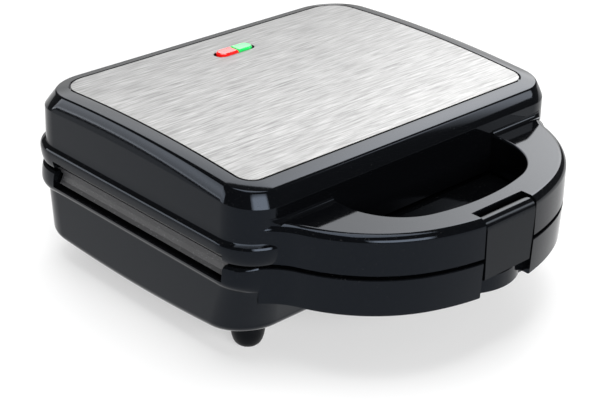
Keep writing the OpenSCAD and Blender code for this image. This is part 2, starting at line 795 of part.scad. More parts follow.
module lower_housing() {
    boss_top = parting_z - lug_depth - seat_gap;
    color([0.06, 0.06, 0.07]) placed() difference() {
        union() {
            difference() {
                union() {
                    base_outside();
                    base_handle_outside();
                }
                base_inside();
                handle_hollow(wall, false, handle_bottom - 1, base_top - wall);
                base_notch();
                windows(window_bottom, base_top + 1);
            }
            catch_ridge();
            base_ears();
            for (p = screw_at) translate([p[0], p[1], 0]) plate_boss(bottom_at(p[1]) + 0.8, boss_top);
            translate([gland_x, gland_seat, gland_z]) rotate([90, 0, 0])
                cylinder(r = gland_flange_r + 1, h = gland_flange_t + 1);
            for (p = foot_at) translate([p[0], p[1], foot_seat(p)]) {
                cylinder(r = foot_top_r, h = 2);
                cylinder(r = foot_stud_r + 2, h = foot_stud_h + 2);
            }
            translate([gland_x - block_l / 2 + 1, block_y + 1, block_z - block_seat_t])
                cube([block_l - 2, block_w - 2, block_seat_t]);
        }
        for (p = screw_at) translate([p[0], p[1], 0]) plate_boss_bore(bottom_z, boss_top);
        for (p = foot_at) translate([p[0], p[1], foot_seat(p) - 1])
            cylinder(r = foot_stud_r + running_gap, h = foot_stud_h + 1.2);
        for (side = [-1, 1]) hinge_bore(side * hinge_x - 20, side * hinge_x + 20);
        translate([gland_x, gland_seat, gland_z]) rotate([90, 0, 0]) union() {
            translate([0, 0, -1]) cylinder(r = gland_neck_r + running_gap, h = 11);
            translate([0, 0, -gland_flange_t]) cylinder(r = gland_flange_r + 0.3, h = gland_flange_t);
        }
    }
}

module foot(seat) {
    rotate_extrude() union() {
        polygon([
            [0, 0], [foot_tip_r - 1.5, 0], [foot_tip_r, 0.6], [foot_tip_r + 1.2, 1.8],
            [foot_top_r - 0.8, seat - 3], [foot_top_r, seat - 0.6], [foot_top_r, seat - seat_gap],
            [0, seat - seat_gap]
        ]);
        translate([0, seat - 1]) square([foot_stud_r, foot_stud_h]);
    }
}

module feet() {
    color([0.05, 0.05, 0.05]) placed() for (p = foot_at) translate([p[0], p[1], 0]) foot(foot_seat(p));
}

module lower_plate() {
    color([0.16, 0.16, 0.17]) placed() translate([0, 0, parting_z]) plate(lower_skirt);
}

module lower_heater() color([0.55, 0.55, 0.56]) placed() translate([0, 0, parting_z]) heater();

module lower_heater_clamps() color([0.75, 0.75, 0.76]) placed() translate([0, 0, parting_z]) heater_clamps();

module lower_clamp_screws() color([0.8, 0.8, 0.8]) placed() translate([0, 0, parting_z]) clamp_screws();

module lower_reflector() color([0.82, 0.83, 0.84]) placed() translate([0, 0, parting_z]) reflector();

module lower_plate_screws() color([0.8, 0.8, 0.8]) placed() translate([0, 0, parting_z]) plate_screws();

// Round bimetal thermostat pressed to a pocket's back
module thermostat() {
    bottom = parting_z - pocket_back - seat_gap - thermostat_h;
    color([0.9, 0.88, 0.84]) placed() translate([thermostat_at[0], thermostat_at[1], bottom]) union() {
        cylinder(r = thermostat_r, h = thermostat_h);
        translate([0, 0, thermostat_h - 2]) cylinder(r = thermostat_r + 1.5, h = 1);
        for (side = [-1, 1]) translate([side * tab_x - tab_t / 2, -tab_w / 2, -tab_l])
            cube([tab_t, tab_w, tab_l + 1]);
    }
}

// Thermal cut-out in its sleeve, lying against a pocket's back
module thermal_fuse() {
    z = parting_z - pocket_back - seat_gap - fuse_r;
    color([0.85, 0.8, 0.7]) placed() translate([fuse_at[0], fuse_at[1], z]) rotate([90, 0, 0]) union() {
        cylinder(r = fuse_r, h = fuse_l, center = true);
        cylinder(r = fuse_wire_r, h = fuse_l + 2 * fuse_wire_l, center = true);
    }
}

// Three-way ceramic block on a seat moulded in the housing's floor
module terminal_block() {
    pitch = block_l / 3;
    color([0.92, 0.92, 0.9]) placed() translate([gland_x - block_l / 2, block_y, block_z + seat_gap])
        difference() {
            union() {
                cube([block_l, block_w, block_h]);
                for (i = [0:2]) translate([(i + 0.5) * pitch - block_barrel_w / 2, 0, 0])
                    cube([block_barrel_w, block_w, block_barrel_h]);
            }
            for (i = [0:2]) translate([(i + 0.5) * pitch, -1, block_barrel_h / 2]) {
                rotate([-90, 0, 0]) cylinder(r = 2, h = block_w + 2);
                for (y = [5, block_w - 3]) translate([0, y, 0]) cylinder(r = 1.6, h = block_barrel_h);
            }
        }
}

module cord_gland() {
    color([0.07, 0.07, 0.07]) placed() translate([gland_x, gland_seat, gland_z]) rotate([-90, 0, 0])
        rotate_extrude() difference() {
            union() {
                translate([0, -8]) square([gland_neck_r, 8]);
                polygon([
                    [0, 0], [gland_flange_r, 0], [gland_flange_r, 1.2],
                    [gland_flange_r - 1.6, gland_flange_t], [0, gland_flange_t]
                ]);
                translate([0, -8]) square([gland_neck_r + 1.6, 2.4]);
            }
            translate([-1, -9]) square([gland_bore_r + 1, 13]);
        }
}

module hinge_pins() {
    length = knuckle_w + 1 + 2 * ear_w;
    color([0.7, 0.7, 0.72]) placed() for (side = [-1, 1])
        translate([side * hinge_x - length / 2, hinge_y, parting_z]) rotate([0, 90, 0])
            cylinder(r = hinge_pin_r, h = length);
}

// Lid

module upper_housing() {
    boss_bottom = parting_z + lug_depth + seat_gap;
    color([0.06, 0.06, 0.07]) placed() difference() {
        union() {
            difference() {
                union() {
                    lid_outside();
                    difference() {
                        lid_handle_outside();
                        grip_opening();
                    }
                }
                lid_inside();
                handle_hollow(wall, true, lid_bottom - 1, handle_top - wall);
                lid_notch();
                windows(lid_bottom - 1, window_top);
            }
            lid_knuckles();
            for (p = screw_at) translate([p[0], p[1], 0])
                plate_boss(boss_bottom, recess_floor + crown(p[1]) - 0.5);
        }
        for (p = screw_at) translate([p[0], p[1], 0])
            mirror([0, 0, 1]) plate_boss_bore(-recess_floor - crown(p[1]) - 1, -boss_bottom);
        for (side = [-1, 1]) hinge_bore(side * hinge_x - 20, side * hinge_x + 20);
        translate([-pin_end_x - 0.5, barrel_y, barrel_z]) rotate([0, 90, 0])
            cylinder(r = latch_pin_r + running_gap, h = 2 * pin_end_x + 1);
        translate([-lens_l - lens_gap, lamp_y - lens_w / 2 - lens_gap, ceiling - 5])
            cube([2 * (lens_l + lens_gap), lens_w + 2 * lens_gap, trim_top - ceiling + 6]);
    }
}

module slot_shape(l, w) union() {
    square([l - w, w], center = true);
    for (side = [-1, 1]) translate([side * (l - w) / 2, 0]) circle(d = w);
}

module trim_shape() union() {
    for (side = [-1, 1]) {
        translate([side * (trim_w / 2 - trim_front_r), -trim_d / 2 + trim_front_r]) circle(trim_front_r);
        translate([side * (trim_w / 2 - trim_back_r), trim_d / 2 - trim_back_r]) circle(trim_back_r);
    }
    translate([-trim_w / 2 + trim_back_r, -trim_d / 2 + trim_front_r])
        square([trim_w - 2 * trim_back_r, trim_d - trim_front_r]);
    translate([-trim_w / 2 + trim_front_r, -trim_d / 2])
        square([trim_w - 2 * trim_front_r, trim_d / 2]);
    translate([-trim_w / 2, -trim_d / 2 + trim_front_r])
        square([trim_w, trim_d - trim_front_r - trim_back_r]);
}

// Crowned sheet: a slice between two long cylinders, cut to the trim's outline
module top_trim() {
    color([0.74, 0.74, 0.73]) placed() intersection() {
        difference() {
            translate([-trim_w, crown_y, trim_top - crown_r]) rotate([0, 90, 0])
                cylinder(r = crown_r, h = 2 * trim_w, $fn = crown_sides);
            translate([-trim_w - 1, crown_y, trim_top - crown_r]) rotate([0, 90, 0])
                cylinder(r = crown_r - trim_t, h = 2 * trim_w + 2, $fn = crown_sides);
        }
        translate([0, 0, wall_top]) linear_extrude(trim_top - wall_top + 1) difference() {
            trim_shape();
            translate([0, lamp_y]) slot_shape(lamp_slot_l, lamp_slot_w);
        }
    }
}

module upper_plate() {
    color([0.16, 0.16, 0.17]) placed() translate([0, 0, parting_z]) mirror([0, 0, 1]) plate(upper_skirt);
}

module in_lid() placed() translate([0, 0, parting_z]) mirror([0, 0, 1]) children();

module upper_heater() color([0.55, 0.55, 0.56]) in_lid() heater();

module upper_heater_clamps() color([0.75, 0.75, 0.76]) in_lid() heater_clamps();

module upper_clamp_screws() color([0.8, 0.8, 0.8]) in_lid() clamp_screws();

module upper_reflector() color([0.82, 0.83, 0.84]) in_lid() reflector();

module upper_plate_screws() color([0.8, 0.8, 0.8]) in_lid() plate_screws();

// Outline of one half of the lamp window, straight at the middle and round at its end
module lens_shape(l, w) union() {
    translate([0, -w / 2]) square([l - w / 2, w]);
    translate([l - w / 2, 0]) circle(d = w);
}

// One half of the lamp window: a bevelled block on a flange under the housing's skin
module lens(side) {
    flange_z = ceiling + crown(lamp_y) - 0.8;
    base_z = flange_z - lens_flange_t;
    placed() translate([0, lamp_y, 0]) mirror([side < 0 ? 1 : 0, 0, 0]) translate([running_gap, 0, 0]) {
        translate([0, 0, base_z]) linear_extrude(lamp_top - base_z) lens_shape(lens_l, lens_w);
        translate([0, -lens_w / 2 - lens_flange, base_z])
            cube([lens_l + lens_flange, lens_w + 2 * lens_flange, lens_flange_t]);
        hull() {
            translate([0, 0, lamp_top - 0.4]) linear_extrude(0.6) lens_shape(lens_l, lens_w, $fn = 32);
            translate([0, 0, lamp_top]) linear_extrude(lens_proud)
                lens_shape(lens_l - lens_bevel, lens_w - 2 * lens_bevel, $fn = 32);
        }
    }
}

module lamp_lens_red() color([0.85, 0.1, 0.08]) lens(-1);

module lamp_lens_green() color([0.1, 0.75, 0.3]) lens(1);

// Tray under the lenses that holds the two lamps
module lamp_holder() {
    color([0.9, 0.9, 0.88]) placed() translate([-holder_l / 2, lamp_y - holder_w / 2, holder_bottom])
        difference() {
            cube([holder_l, holder_w, holder_h]);
            for (i = [0, 1]) translate([holder_wall + i * (cell_l + holder_wall), holder_wall, holder_wall])
                cube([cell_l, holder_w - 2 * holder_wall, holder_h]);
        }
}

module neon_lamps() {
    color([1, 0.6, 0.3]) placed() for (side = [-1, 1])
        translate([side * (cell_l + holder_wall) / 2, lamp_y, holder_bottom + holder_wall + lamp_r + 0.2])
            rotate([0, 90, 0]) cylinder(r = lamp_r, h = lamp_l, center = true);
}

module latch_pin() {
    color([0.7, 0.7, 0.72]) placed() translate([-pin_end_x, barrel_y, barrel_z]) rotate([0, 90, 0])
        cylinder(r = latch_pin_r, h = 2 * pin_end_x);
}

// Latch

module latch_clip() {
    half = latch_w / 2;
    foot_half = half - latch_taper / 2;
    nose_top = catch_z - 0.4;
    color([0.09, 0.09, 0.1]) placed() difference() {
        intersection() {
            across(-half, half) union() {
                translate([barrel_y, barrel_z]) circle(barrel_r);
                polygon([
                    [latch_face, barrel_z], [latch_face + 0.1, latch_bottom + 0.6],
                    [latch_face + 0.7, latch_bottom], [latch_face + latch_t, latch_bottom],
                    [latch_face + nose_reach, nose_top - nose_h], [latch_face + nose_reach, nose_top],
                    [latch_face + latch_t, nose_top], [latch_face + latch_t, barrel_z]
                ]);
            }
            translate([0, latch_face + 30, 0]) rotate([90, 0, 0]) linear_extrude(60) polygon([
                [-half, handle_top], [-half, barrel_z - barrel_r], [-foot_half, latch_bottom - 1],
                [foot_half, latch_bottom - 1], [half, barrel_z - barrel_r], [half, handle_top]
            ]);
        }
        translate([-half - 1, barrel_y, barrel_z]) rotate([0, 90, 0])
            cylinder(r = latch_pin_r + running_gap, h = latch_w + 2);
    }
}

lower_housing();
feet();
lower_plate();
lower_heater();
lower_heater_clamps();
lower_clamp_screws();
lower_reflector();
lower_plate_screws();
thermostat();
thermal_fuse();
terminal_block();
cord_gland();
hinge_pins();
upper_housing();
top_trim();
upper_plate();
upper_heater();
upper_heater_clamps();
upper_clamp_screws();
upper_reflector();
upper_plate_screws();
lamp_lens_red();
lamp_lens_green();
lamp_holder();
neon_lamps();
latch_pin();
latch_clip();
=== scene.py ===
# %% [markdown]
# # A sandwich toaster in gloss black plastic and brushed metal
# The toaster is a clamshell: two black housings hinged at the back, four sandwich pockets between
# them, a handle split in two halves and a clip that holds the halves together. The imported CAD
# model is the frame. We load it first, keep its box, and then dress every piece that shows.

# %% Load the frame
import math

import bpy
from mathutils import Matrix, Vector


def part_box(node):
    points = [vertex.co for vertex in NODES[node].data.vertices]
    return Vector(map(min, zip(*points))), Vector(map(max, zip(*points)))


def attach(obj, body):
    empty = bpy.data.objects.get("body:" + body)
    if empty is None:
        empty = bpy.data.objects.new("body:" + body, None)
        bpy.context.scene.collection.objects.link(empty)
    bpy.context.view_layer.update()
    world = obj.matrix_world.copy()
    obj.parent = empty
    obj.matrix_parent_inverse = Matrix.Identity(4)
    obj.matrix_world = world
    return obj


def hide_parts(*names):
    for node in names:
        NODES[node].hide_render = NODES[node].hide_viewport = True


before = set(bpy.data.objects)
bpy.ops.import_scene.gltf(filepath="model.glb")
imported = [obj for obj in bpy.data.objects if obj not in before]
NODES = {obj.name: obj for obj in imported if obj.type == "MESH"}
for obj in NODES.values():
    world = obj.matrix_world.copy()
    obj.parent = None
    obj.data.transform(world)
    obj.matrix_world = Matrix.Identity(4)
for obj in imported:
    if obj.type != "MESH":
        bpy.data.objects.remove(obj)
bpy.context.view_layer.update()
MM = 0.001

# %% [markdown]
# All shapes below are written in millimetres from the middle of the metal trim, at table height,
# because that is how a drawing of the toaster would be measured. The frame tells us where that
# middle is, how high the two plates meet, and where the hinge and the latch turn.

# %% Read the main places from the frame
trim_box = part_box("top_trim")
pin_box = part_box("hinge_pins")
latch_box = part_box("latch_clip")
latch_pin_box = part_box("latch_pin")
MIDDLE_Y = (trim_box[0].y + trim_box[1].y) / 2
TRIM_W = (trim_box[1].x - trim_box[0].x) / MM
TRIM_D = (trim_box[1].y - trim_box[0].y) / MM
TRIM_TOP = trim_box[1].z / MM
PARTING = (pin_box[0].z + pin_box[1].z) / 2 / MM
HINGE_Y = ((pin_box[0].y + pin_box[1].y) / 2 - MIDDLE_Y) / MM
LATCH_FACE = (latch_box[0].y - MIDDLE_Y) / MM
BARREL_Y = ((latch_pin_box[0].y + latch_pin_box[1].y) / 2 - MIDDLE_Y) / MM
BARREL_Z = (latch_pin_box[0].z + latch_pin_box[1].z) / 2 / MM
print(f"trim {TRIM_W:.1f} x {TRIM_D:.1f} mm, top at {TRIM_TOP:.1f}; plates meet at {PARTING:.1f}")


def at(x, y, z):
    """A point in metres in the row frame, from millimetres round the trim's middle."""
    return Vector((x * MM, y * MM + MIDDLE_Y, z * MM))


# %% [markdown]
# ## Camera
# The photograph looks at the front left corner from a little above. A long lens far away keeps
# the sides nearly parallel. Its place was solved from the trim's and the rims' corners.

# %% Place the camera
IMAGE = 600, 410
AZIMUTH, ELEVATION, ROLL = -44.008, 26.879, 1.516
DISTANCE = 990.093
TARGET = 36.175, 31.4, 0.0
FOCAL_PX = 1578.72
SENSOR = 36.0


def camera_directions(azimuth, elevation, roll):
    """The camera's right, up and back as unit vectors."""
    a, e, r = map(math.radians, (azimuth, elevation, roll))
    back = Vector((math.sin(a) * math.cos(e), -math.cos(a) * math.cos(e), math.sin(e)))
    right = Vector((math.cos(a), math.sin(a), 0))
    up = back.cross(right)
    turned = math.cos(r) * right + math.sin(r) * up
    return turned, math.cos(r) * up - math.sin(r) * right, back


def place_camera():
    """Adds the camera and makes it the scene's."""
    right, up, back = camera_directions(AZIMUTH, ELEVATION, ROLL)
    data = bpy.data.cameras.new("photo_camera")
    data.sensor_fit = "HORIZONTAL"
    data.sensor_width = SENSOR
    data.lens = FOCAL_PX * SENSOR / IMAGE[0]
    data.clip_end = 80
    camera = bpy.data.objects.new("photo_camera", data)
    bpy.context.scene.collection.objects.link(camera)
    place = at(*TARGET) + back * DISTANCE * MM
    rotation = camera.matrix_world.to_3x3()
    for i, axis in enumerate((right, up, back)):
        rotation.col[i] = axis
    camera.matrix_world = rotation.to_4x4()
    camera.location = place
    bpy.context.scene.camera = camera
    return camera


camera = place_camera()
print(f"camera lens {camera.data.lens:.1f} mm, at", tuple(round(c, 3) for c in camera.location))

# %% [markdown]
# ## Studio
# Gloss black plastic has almost no colour of its own: what we see on it is the studio. So the
# studio is nearly dark, and five soft boxes stand where the photograph's bands of light need
# them. Their places were found by mirroring the line of sight in each band's face. The sheen on
# the upright walls is the pale floor.


# %% Helpers for soft boxes
LIGHT_AIM = Vector((0, 0, 0.05))


def toward(azimuth, elevation, distance):
    """A point seen from the toaster at an angle to the right of straight back, and a height angle."""
    a, e = math.radians(azimuth), math.radians(elevation)
    direction = Vector((math.sin(a) * math.cos(e), math.cos(a) * math.cos(e), math.sin(e)))
    return LIGHT_AIM + direction * distance


def ramp(tree, value, points):
    """A smooth curve through (position, level) points, for the glow across a soft box."""
    node = tree.nodes.new("ShaderNodeValToRGB")
    node.color_ramp.interpolation = "EASE"
    tree.links.new(value, node.inputs["Fac"])
    stops = node.color_ramp.elements
    while len(stops) < len(points):
        stops.new(0.5)
    for stop, (position, level) in zip(stops, points):
        stop.position = position
        stop.color = (level, level, level, 1)
    return node.outputs["Color"]


EVEN = [(0, 1), (1, 1)]


def add_glow(tree, wide, high):
    """Makes a soft box brighter in some places, by a curve across it and one up it."""
    spot = tree.nodes.new("ShaderNodeSeparateXYZ")
    tree.links.new(tree.nodes.new("ShaderNodeNewGeometry").outputs["Parametric"], spot.inputs[0])
    both = tree.nodes.new("ShaderNodeMix")
    both.data_type = "RGBA"
    both.blend_type = "MULTIPLY"
    both.inputs["Factor"].default_value = 1
    colours = [socket for socket in both.inputs if socket.type == "RGBA"]
    tree.links.new(ramp(tree, spot.outputs["X"], wide), colours[0])
    tree.links.new(ramp(tree, spot.outputs["Y"], high), colours[1])
    glow = next(o for o in both.outputs if o.type == "RGBA")
    tree.links.new(glow, tree.nodes["Emission"].inputs["Color"])


def soft_box(name, place, size, radiance, wide=None, high=None):
    """An area light that faces the toaster, as bright as radiance, and not seen by the camera."""
    data = bpy.data.lights.new(name, "AREA")
    data.shape = "RECTANGLE"
    data.size, data.size_y = size
    data.energy = radiance * math.pi * size[0] * size[1]
    light = bpy.data.objects.new(name, data)
    bpy.context.scene.collection.objects.link(light)
    light.location = place
    light.rotation_euler = (LIGHT_AIM - place).to_track_quat("-Z", "Y").to_euler()
    light.visible_camera = False
    if wide or high:
        data.use_nodes = True
        add_glow(data.node_tree, wide or EVEN, high or EVEN)
    return light


def plain_room(strength):
    """Even world light of a plain strength."""
    world = bpy.data.worlds.new("plain_room")
    world.use_nodes = True
    background = world.node_tree.nodes["Background"]
    background.inputs["Color"].default_value = (1, 1, 1, 1)
    background.inputs["Strength"].default_value = strength
    bpy.context.scene.world = world


# %% [markdown]
# The large box at the back lies in the trim, in the ring round it and in the handle's top. It
# fades towards its lower end, because the photograph's ring is darker behind the lamps than at
# the sides. The flat box on the left draws the line along the lid's shoulder, the small one on
# the right catches the handle's root, and those in front and above fill in the rest.

# %% Light the studio
DIM_ROOM = 0.12
SOFT_EDGES = [(0, 0.3), (0.2, 1), (0.85, 1), (1, 0.3)]
SOFT_ENDS = [(0, 0.3), (0.2, 1), (0.8, 1), (1, 0.3)]

plain_room(DIM_ROOM)
soft_box("soft_box_front", toward(-160, 21, 1.7), (1.3, 0.8), 11, wide=SOFT_EDGES, high=SOFT_ENDS)
soft_box(
    "soft_box_right", toward(128, 27, 1.6), (0.32, 0.7), 6,
    wide=[(0, 0.2), (0.4, 1), (0.6, 1), (1, 0.2)],
)
soft_box("soft_box_top", toward(0, 90, 2.2), (1.7, 1.3), 6)
soft_box(
    "soft_box_back", toward(42, 25, 2.0), (2.15, 1.68), 5.6,
    wide=[(0, 1), (0.18, 1), (0.46, 0.52), (0.8, 0.5), (1, 0.45)],
    high=[(0, 0.2), (0.3, 0.38), (0.55, 0.98), (0.8, 1.35), (1, 1.35)],
)
soft_box(
    "soft_box_left", toward(-48, 9, 1.5), (1.0, 0.3), 6.5,
    high=[(0, 1), (0.05, 1), (0.12, 0.5), (0.6, 0.8), (1, 0.6)],
)
bpy.context.scene.view_settings.view_transform = "Standard"
print("soft boxes:", sorted(light.name for light in bpy.data.lights))

# %% [markdown]
# ## Mesh helpers
# Most pieces are lofts: rings of equally many points, one above the other, joined by quads. The
# helpers below make such a mesh, cut one mesh with another, and shade it smooth except at its
# sharp edges.


# %% Make, cut and shade meshes
def new_piece(name, points, faces):
    """A mesh object from millimetre points round the trim's middle."""
    mesh = bpy.data.meshes.new(name)
    mesh.from_pydata([at(*p) for p in points], [], faces)
    mesh.validate()
    piece = bpy.data.objects.new(name, mesh)
    bpy.context.scene.collection.objects.link(piece)
    return piece


def skin(rings):
    """Points of rings of as many points each, and the quads from each ring to the next."""
    n = len(rings[0])
    faces = []
    for k in range(len(rings) - 1):
        for i in range(n):
            j = (i + 1) % n
            faces.append((k * n + i, k * n + j, (k + 1) * n + j, (k + 1) * n + i))
    return [p for ring_points in rings for p in ring_points], faces


def loft(name, rings):
    """Skin through mirrored rings, its ends closed by strips from one side to the other."""
    n = len(rings[0])
    points, faces = skin(rings)
    top = len(points) - n
    for i in range(n // 2 - 1):
        faces.append((n - 1 - i, n - 2 - i, i + 1, i))
        faces.append((top + i, top + i + 1, top + n - 2 - i, top + n - 1 - i))
    return new_piece(name, points, faces)


def prism(name, lower, upper):
    """A solid between two equal rings."""
    n = len(lower)
    points, faces = skin([lower, upper])
    return new_piece(name, points, [tuple(range(n - 1, -1, -1)), tuple(range(n, 2 * n))] + faces)


def across(name, x0, x1, outline):
    """An outline in Y and Z, run from x0 to x1."""
    return prism(name, [(x0, y, z) for y, z in outline], [(x1, y, z) for y, z in outline])


def upright(name, outline, z0, z1):
    """An outline in X and Y, run from z0 to z1."""
    return prism(name, [(x, y, z0) for x, y in outline], [(x, y, z1) for x, y in outline])


def turned(name, profile, x, y, steps=48):
    """A lathe piece on an upright axis: profile is (radius, height) from its lower end up."""
    turns = [2 * math.pi * i / steps for i in range(steps)]
    points, faces = skin([[(x + r * math.cos(a), y + r * math.sin(a), z) for a in turns] for r, z in profile])
    top = len(points) - steps
    ends = [tuple(range(steps - 1, -1, -1)), tuple(top + i for i in range(steps))]
    return new_piece(name, points, ends + faces)


def apply_modifiers(piece):
    """Bakes a piece's modifiers into its mesh."""
    graph = bpy.context.evaluated_depsgraph_get()
    mesh = bpy.data.meshes.new_from_object(piece.evaluated_get(graph))
    old = piece.data
    piece.modifiers.clear()
    piece.data = mesh
    bpy.data.meshes.remove(old)


def combine(piece, tools, how):
    """Adds tools to a piece (UNION), cuts them out (DIFFERENCE) or keeps what is shared (INTERSECT)."""
    for tool in tools:
        step = piece.modifiers.new("step", "BOOLEAN")
        step.operation = how
        step.solver = "MANIFOLD"
        step.object = tool
        apply_modifiers(piece)
    for tool in tools:
        bpy.data.meshes.remove(tool.data)
    return piece


def shade(piece, sharp_degrees=32):
    """Smooth shading that keeps edges sharper than an angle."""
    mesh = piece.data
    mesh.polygons.foreach_set("use_smooth", [True] * len(mesh.polygons))
    mesh.set_sharp_from_angle(angle=math.radians(sharp_degrees))
    mesh.update()
    return piece


# %% [markdown]
# ## Outlines
# The housings are rounded rectangles in plan, with other radii at the front than at the back. The
# top is crowned from front to back with a very large radius, and the bottom mirrors that crown.

# %% Outlines, crown and arcs
CROWN_R = 940.0
CROWN_Y = 11.0
CORNER_STEPS = 40
SIDE_STEPS = 16
BODY = (121.0, -95.5, 92.5, 22.5, 24.0)
TRIM = (TRIM_W / 2, -TRIM_D / 2, TRIM_D / 2, 9.0, 17.0)


def grow(o, d):
    """An outline moved out by d: half width, front, back, front radius, back radius."""
    return o[0] + d, o[1] - d, o[2] + d, o[3] + d, o[4] + d


def between(a, b, t):
    """The value, or the outline, a share t of the way from a to b."""
    if isinstance(a, tuple):
        return tuple(p * (1 - t) + q * t for p, q in zip(a, b))
    return a * (1 - t) + b * t


def crown(y):
    """How far the crowned top has dropped at y."""
    return math.sqrt(CROWN_R**2 - (y - CROWN_Y) ** 2) - CROWN_R


def arc(cx, cy, r, a0, a1, steps):
    """Points along an arc, angles in degrees."""
    angles = [math.radians(a0 + (a1 - a0) * i / steps) for i in range(steps + 1)]
    return [(cx + r * math.cos(a), cy + r * math.sin(a)) for a in angles]


def outline_half(o):
    """The right half of a rounded outline, from its front edge round to its back edge."""
    half_w, front, back, front_r, back_r = o
    side = [
        (half_w, between(front + front_r, back - back_r, i / SIDE_STEPS)) for i in range(1, SIDE_STEPS)
    ]
    return (
        arc(half_w - front_r, front + front_r, front_r, -90, 0, CORNER_STEPS)
        + side
        + arc(half_w - back_r, back - back_r, back_r, 0, 90, CORNER_STEPS)
    )


def mirrored(half):
    """A half outline and its mirror image, as one closed outline."""
    return half + [(-x, y) for x, y in reversed(half)]


def ease(t):
    """Runs smoothly from 0 to 1."""
    t = min(1.0, max(0.0, t))
    return t * t * (3 - 2 * t)


def round_end(t):
    """Rises like a quarter circle from 0 to 1."""
    t = min(1.0, max(0.0, t))
    return math.sqrt(1 - (1 - t) ** 2)


def rim_share(a0, a1, rise):
    """Share of the rim round an outline: it ends on the front corners between two angles."""
    half = [rise((90 * i / CORNER_STEPS - a0) / (a1 - a0)) for i in range(CORNER_STEPS + 1)]
    half += [1.0] * (SIDE_STEPS + CORNER_STEPS)
    return half + half[::-1]


LID_RIM = rim_share(1, 12, round_end)
BASE_RIM = rim_share(15, 80, ease)


def ring(outline, z, crown_share=0.0, rim=0.0, share=LID_RIM):
    """One level of a housing: an outline at a height, with its share of crown and rim."""
    plain = mirrored(outline_half(outline))
    proud = mirrored(outline_half(grow(outline, rim)))
    points = []
    for p, q, s in zip(plain, proud, share):
        x, y = between(p, q, s)
        points.append((x, y, z + crown_share * crown(y)))
    return points


print(len(ring(BODY, 0)), "points in each ring of a housing")

# %% [markdown]
# ## Finishes
# Three effects turn up in several finishes, so each is a node group with its own inputs: the
# faint waviness of a moulded face, fine dust and rub marks, and fibres or brush lines drawn out
# in one direction. Each group only gives masks and heights; the shader stays in its material.


# %% Helpers for groups and nodes
def new_group(name, inputs, outputs):
    """An empty shader group with float sockets; returns it with its two end nodes."""
    group = bpy.data.node_groups.new(name, "ShaderNodeTree")
    for label, value in inputs:
        socket = group.interface.new_socket(label, in_out="INPUT", socket_type="NodeSocketFloat")
        socket.default_value = value
    for label in outputs:
        group.interface.new_socket(label, in_out="OUTPUT", socket_type="NodeSocketFloat")
    return group, group.nodes.new("NodeGroupInput"), group.nodes.new("NodeGroupOutput")


def add_node(tree, kind, settings=None, **inputs):
    """A node with some settings, and its inputs set to values or linked to sockets."""
    node = tree.nodes.new(kind)
    for key, value in (settings or {}).items():
        setattr(node, key, value)
    for key, value in inputs.items():
        socket = node.inputs[int(key[1:])] if key[0] == "i" and key[1:].isdigit() else node.inputs[key]
        if isinstance(value, bpy.types.NodeSocket):
            tree.links.new(value, socket)
        else:
            socket.default_value = value
    return node


def mapped(tree, socket, low, high, start=0.0, end=1.0):
    """A mask spread over another range."""
    return add_node(
        tree, "ShaderNodeMapRange", Value=socket,
        **{"From Min": start, "From Max": end, "To Min": low, "To Max": high},
    ).outputs[0]


def product(tree, a, b):
    """Two masks or numbers multiplied."""
    return add_node(tree, "ShaderNodeMath", {"operation": "MULTIPLY"}, i0=a, i1=b).outputs[0]


# %% Build the three groups
def moulding_group():
    """Waviness: slow unevenness of a moulded face, and grain: its finest texture."""
    g, ends, out = new_group("moulding", (("Wave Size", 30.0), ("Grain Size", 900.0)), ("Wave", "Grain"))
    place = add_node(g, "ShaderNodeTexCoord").outputs["Object"]
    wave = add_node(g, "ShaderNodeTexNoise", Vector=place, Scale=ends.outputs["Wave Size"], Detail=2.0)
    grain = add_node(g, "ShaderNodeTexNoise", Vector=place, Scale=ends.outputs["Grain Size"], Detail=3.0)
    g.links.new(wave.outputs["Fac"], out.inputs["Wave"])
    g.links.new(grain.outputs["Fac"], out.inputs["Grain"])
    return g


def dust_group():
    """Mask of settled dust: sparse specks, more of them on faces that look up."""
    g, ends, out = new_group("dust", (("Speck Size", 700.0), ("Amount", 0.5)), ("Mask",))
    place = add_node(g, "ShaderNodeTexCoord").outputs["Object"]
    specks = add_node(g, "ShaderNodeTexNoise", Vector=place, Scale=ends.outputs["Speck Size"], Detail=4.0)
    patches = add_node(g, "ShaderNodeTexNoise", Vector=place, Scale=14.0, Detail=3.0)
    sparse = mapped(g, specks.outputs["Fac"], 0.0, 1.0, 0.62, 0.74)
    uneven = mapped(g, patches.outputs["Fac"], 0.0, 1.0, 0.35, 0.75)
    normal = add_node(g, "ShaderNodeNewGeometry").outputs["Normal"]
    upward = add_node(g, "ShaderNodeSeparateXYZ", Vector=normal).outputs["Z"]
    settled = product(g, product(g, sparse, uneven), mapped(g, upward, 0.0, 1.0, -0.2, 1.0))
    g.links.new(product(g, settled, ends.outputs["Amount"]), out.inputs["Mask"])
    return g


def brushing_group():
    """Brush lines along X: height of the lines and a slow streakiness."""
    g, ends, out = new_group("brushing", (("Along", 12.0), ("Across", 900.0)), ("Lines", "Streaks"))
    place = add_node(g, "ShaderNodeTexCoord").outputs["Object"]
    parts = add_node(g, "ShaderNodeSeparateXYZ", Vector=place)
    along_x = product(g, parts.outputs["X"], ends.outputs["Along"])
    across_y = product(g, parts.outputs["Y"], ends.outputs["Across"])
    drawn = add_node(g, "ShaderNodeCombineXYZ", X=along_x, Y=across_y).outputs[0]
    fine = add_node(g, "ShaderNodeTexNoise", Vector=drawn, Scale=1.0, Detail=5.0, Roughness=0.65)
    slow = add_node(g, "ShaderNodeTexNoise", Vector=drawn, Scale=0.22, Detail=3.0)
    g.links.new(fine.outputs["Fac"], out.inputs["Lines"])
    g.links.new(slow.outputs["Fac"], out.inputs["Streaks"])
    return g


MOULDING, DUST, BRUSHING = moulding_group(), dust_group(), brushing_group()
print("node groups:", [g.name for g in bpy.data.node_groups])

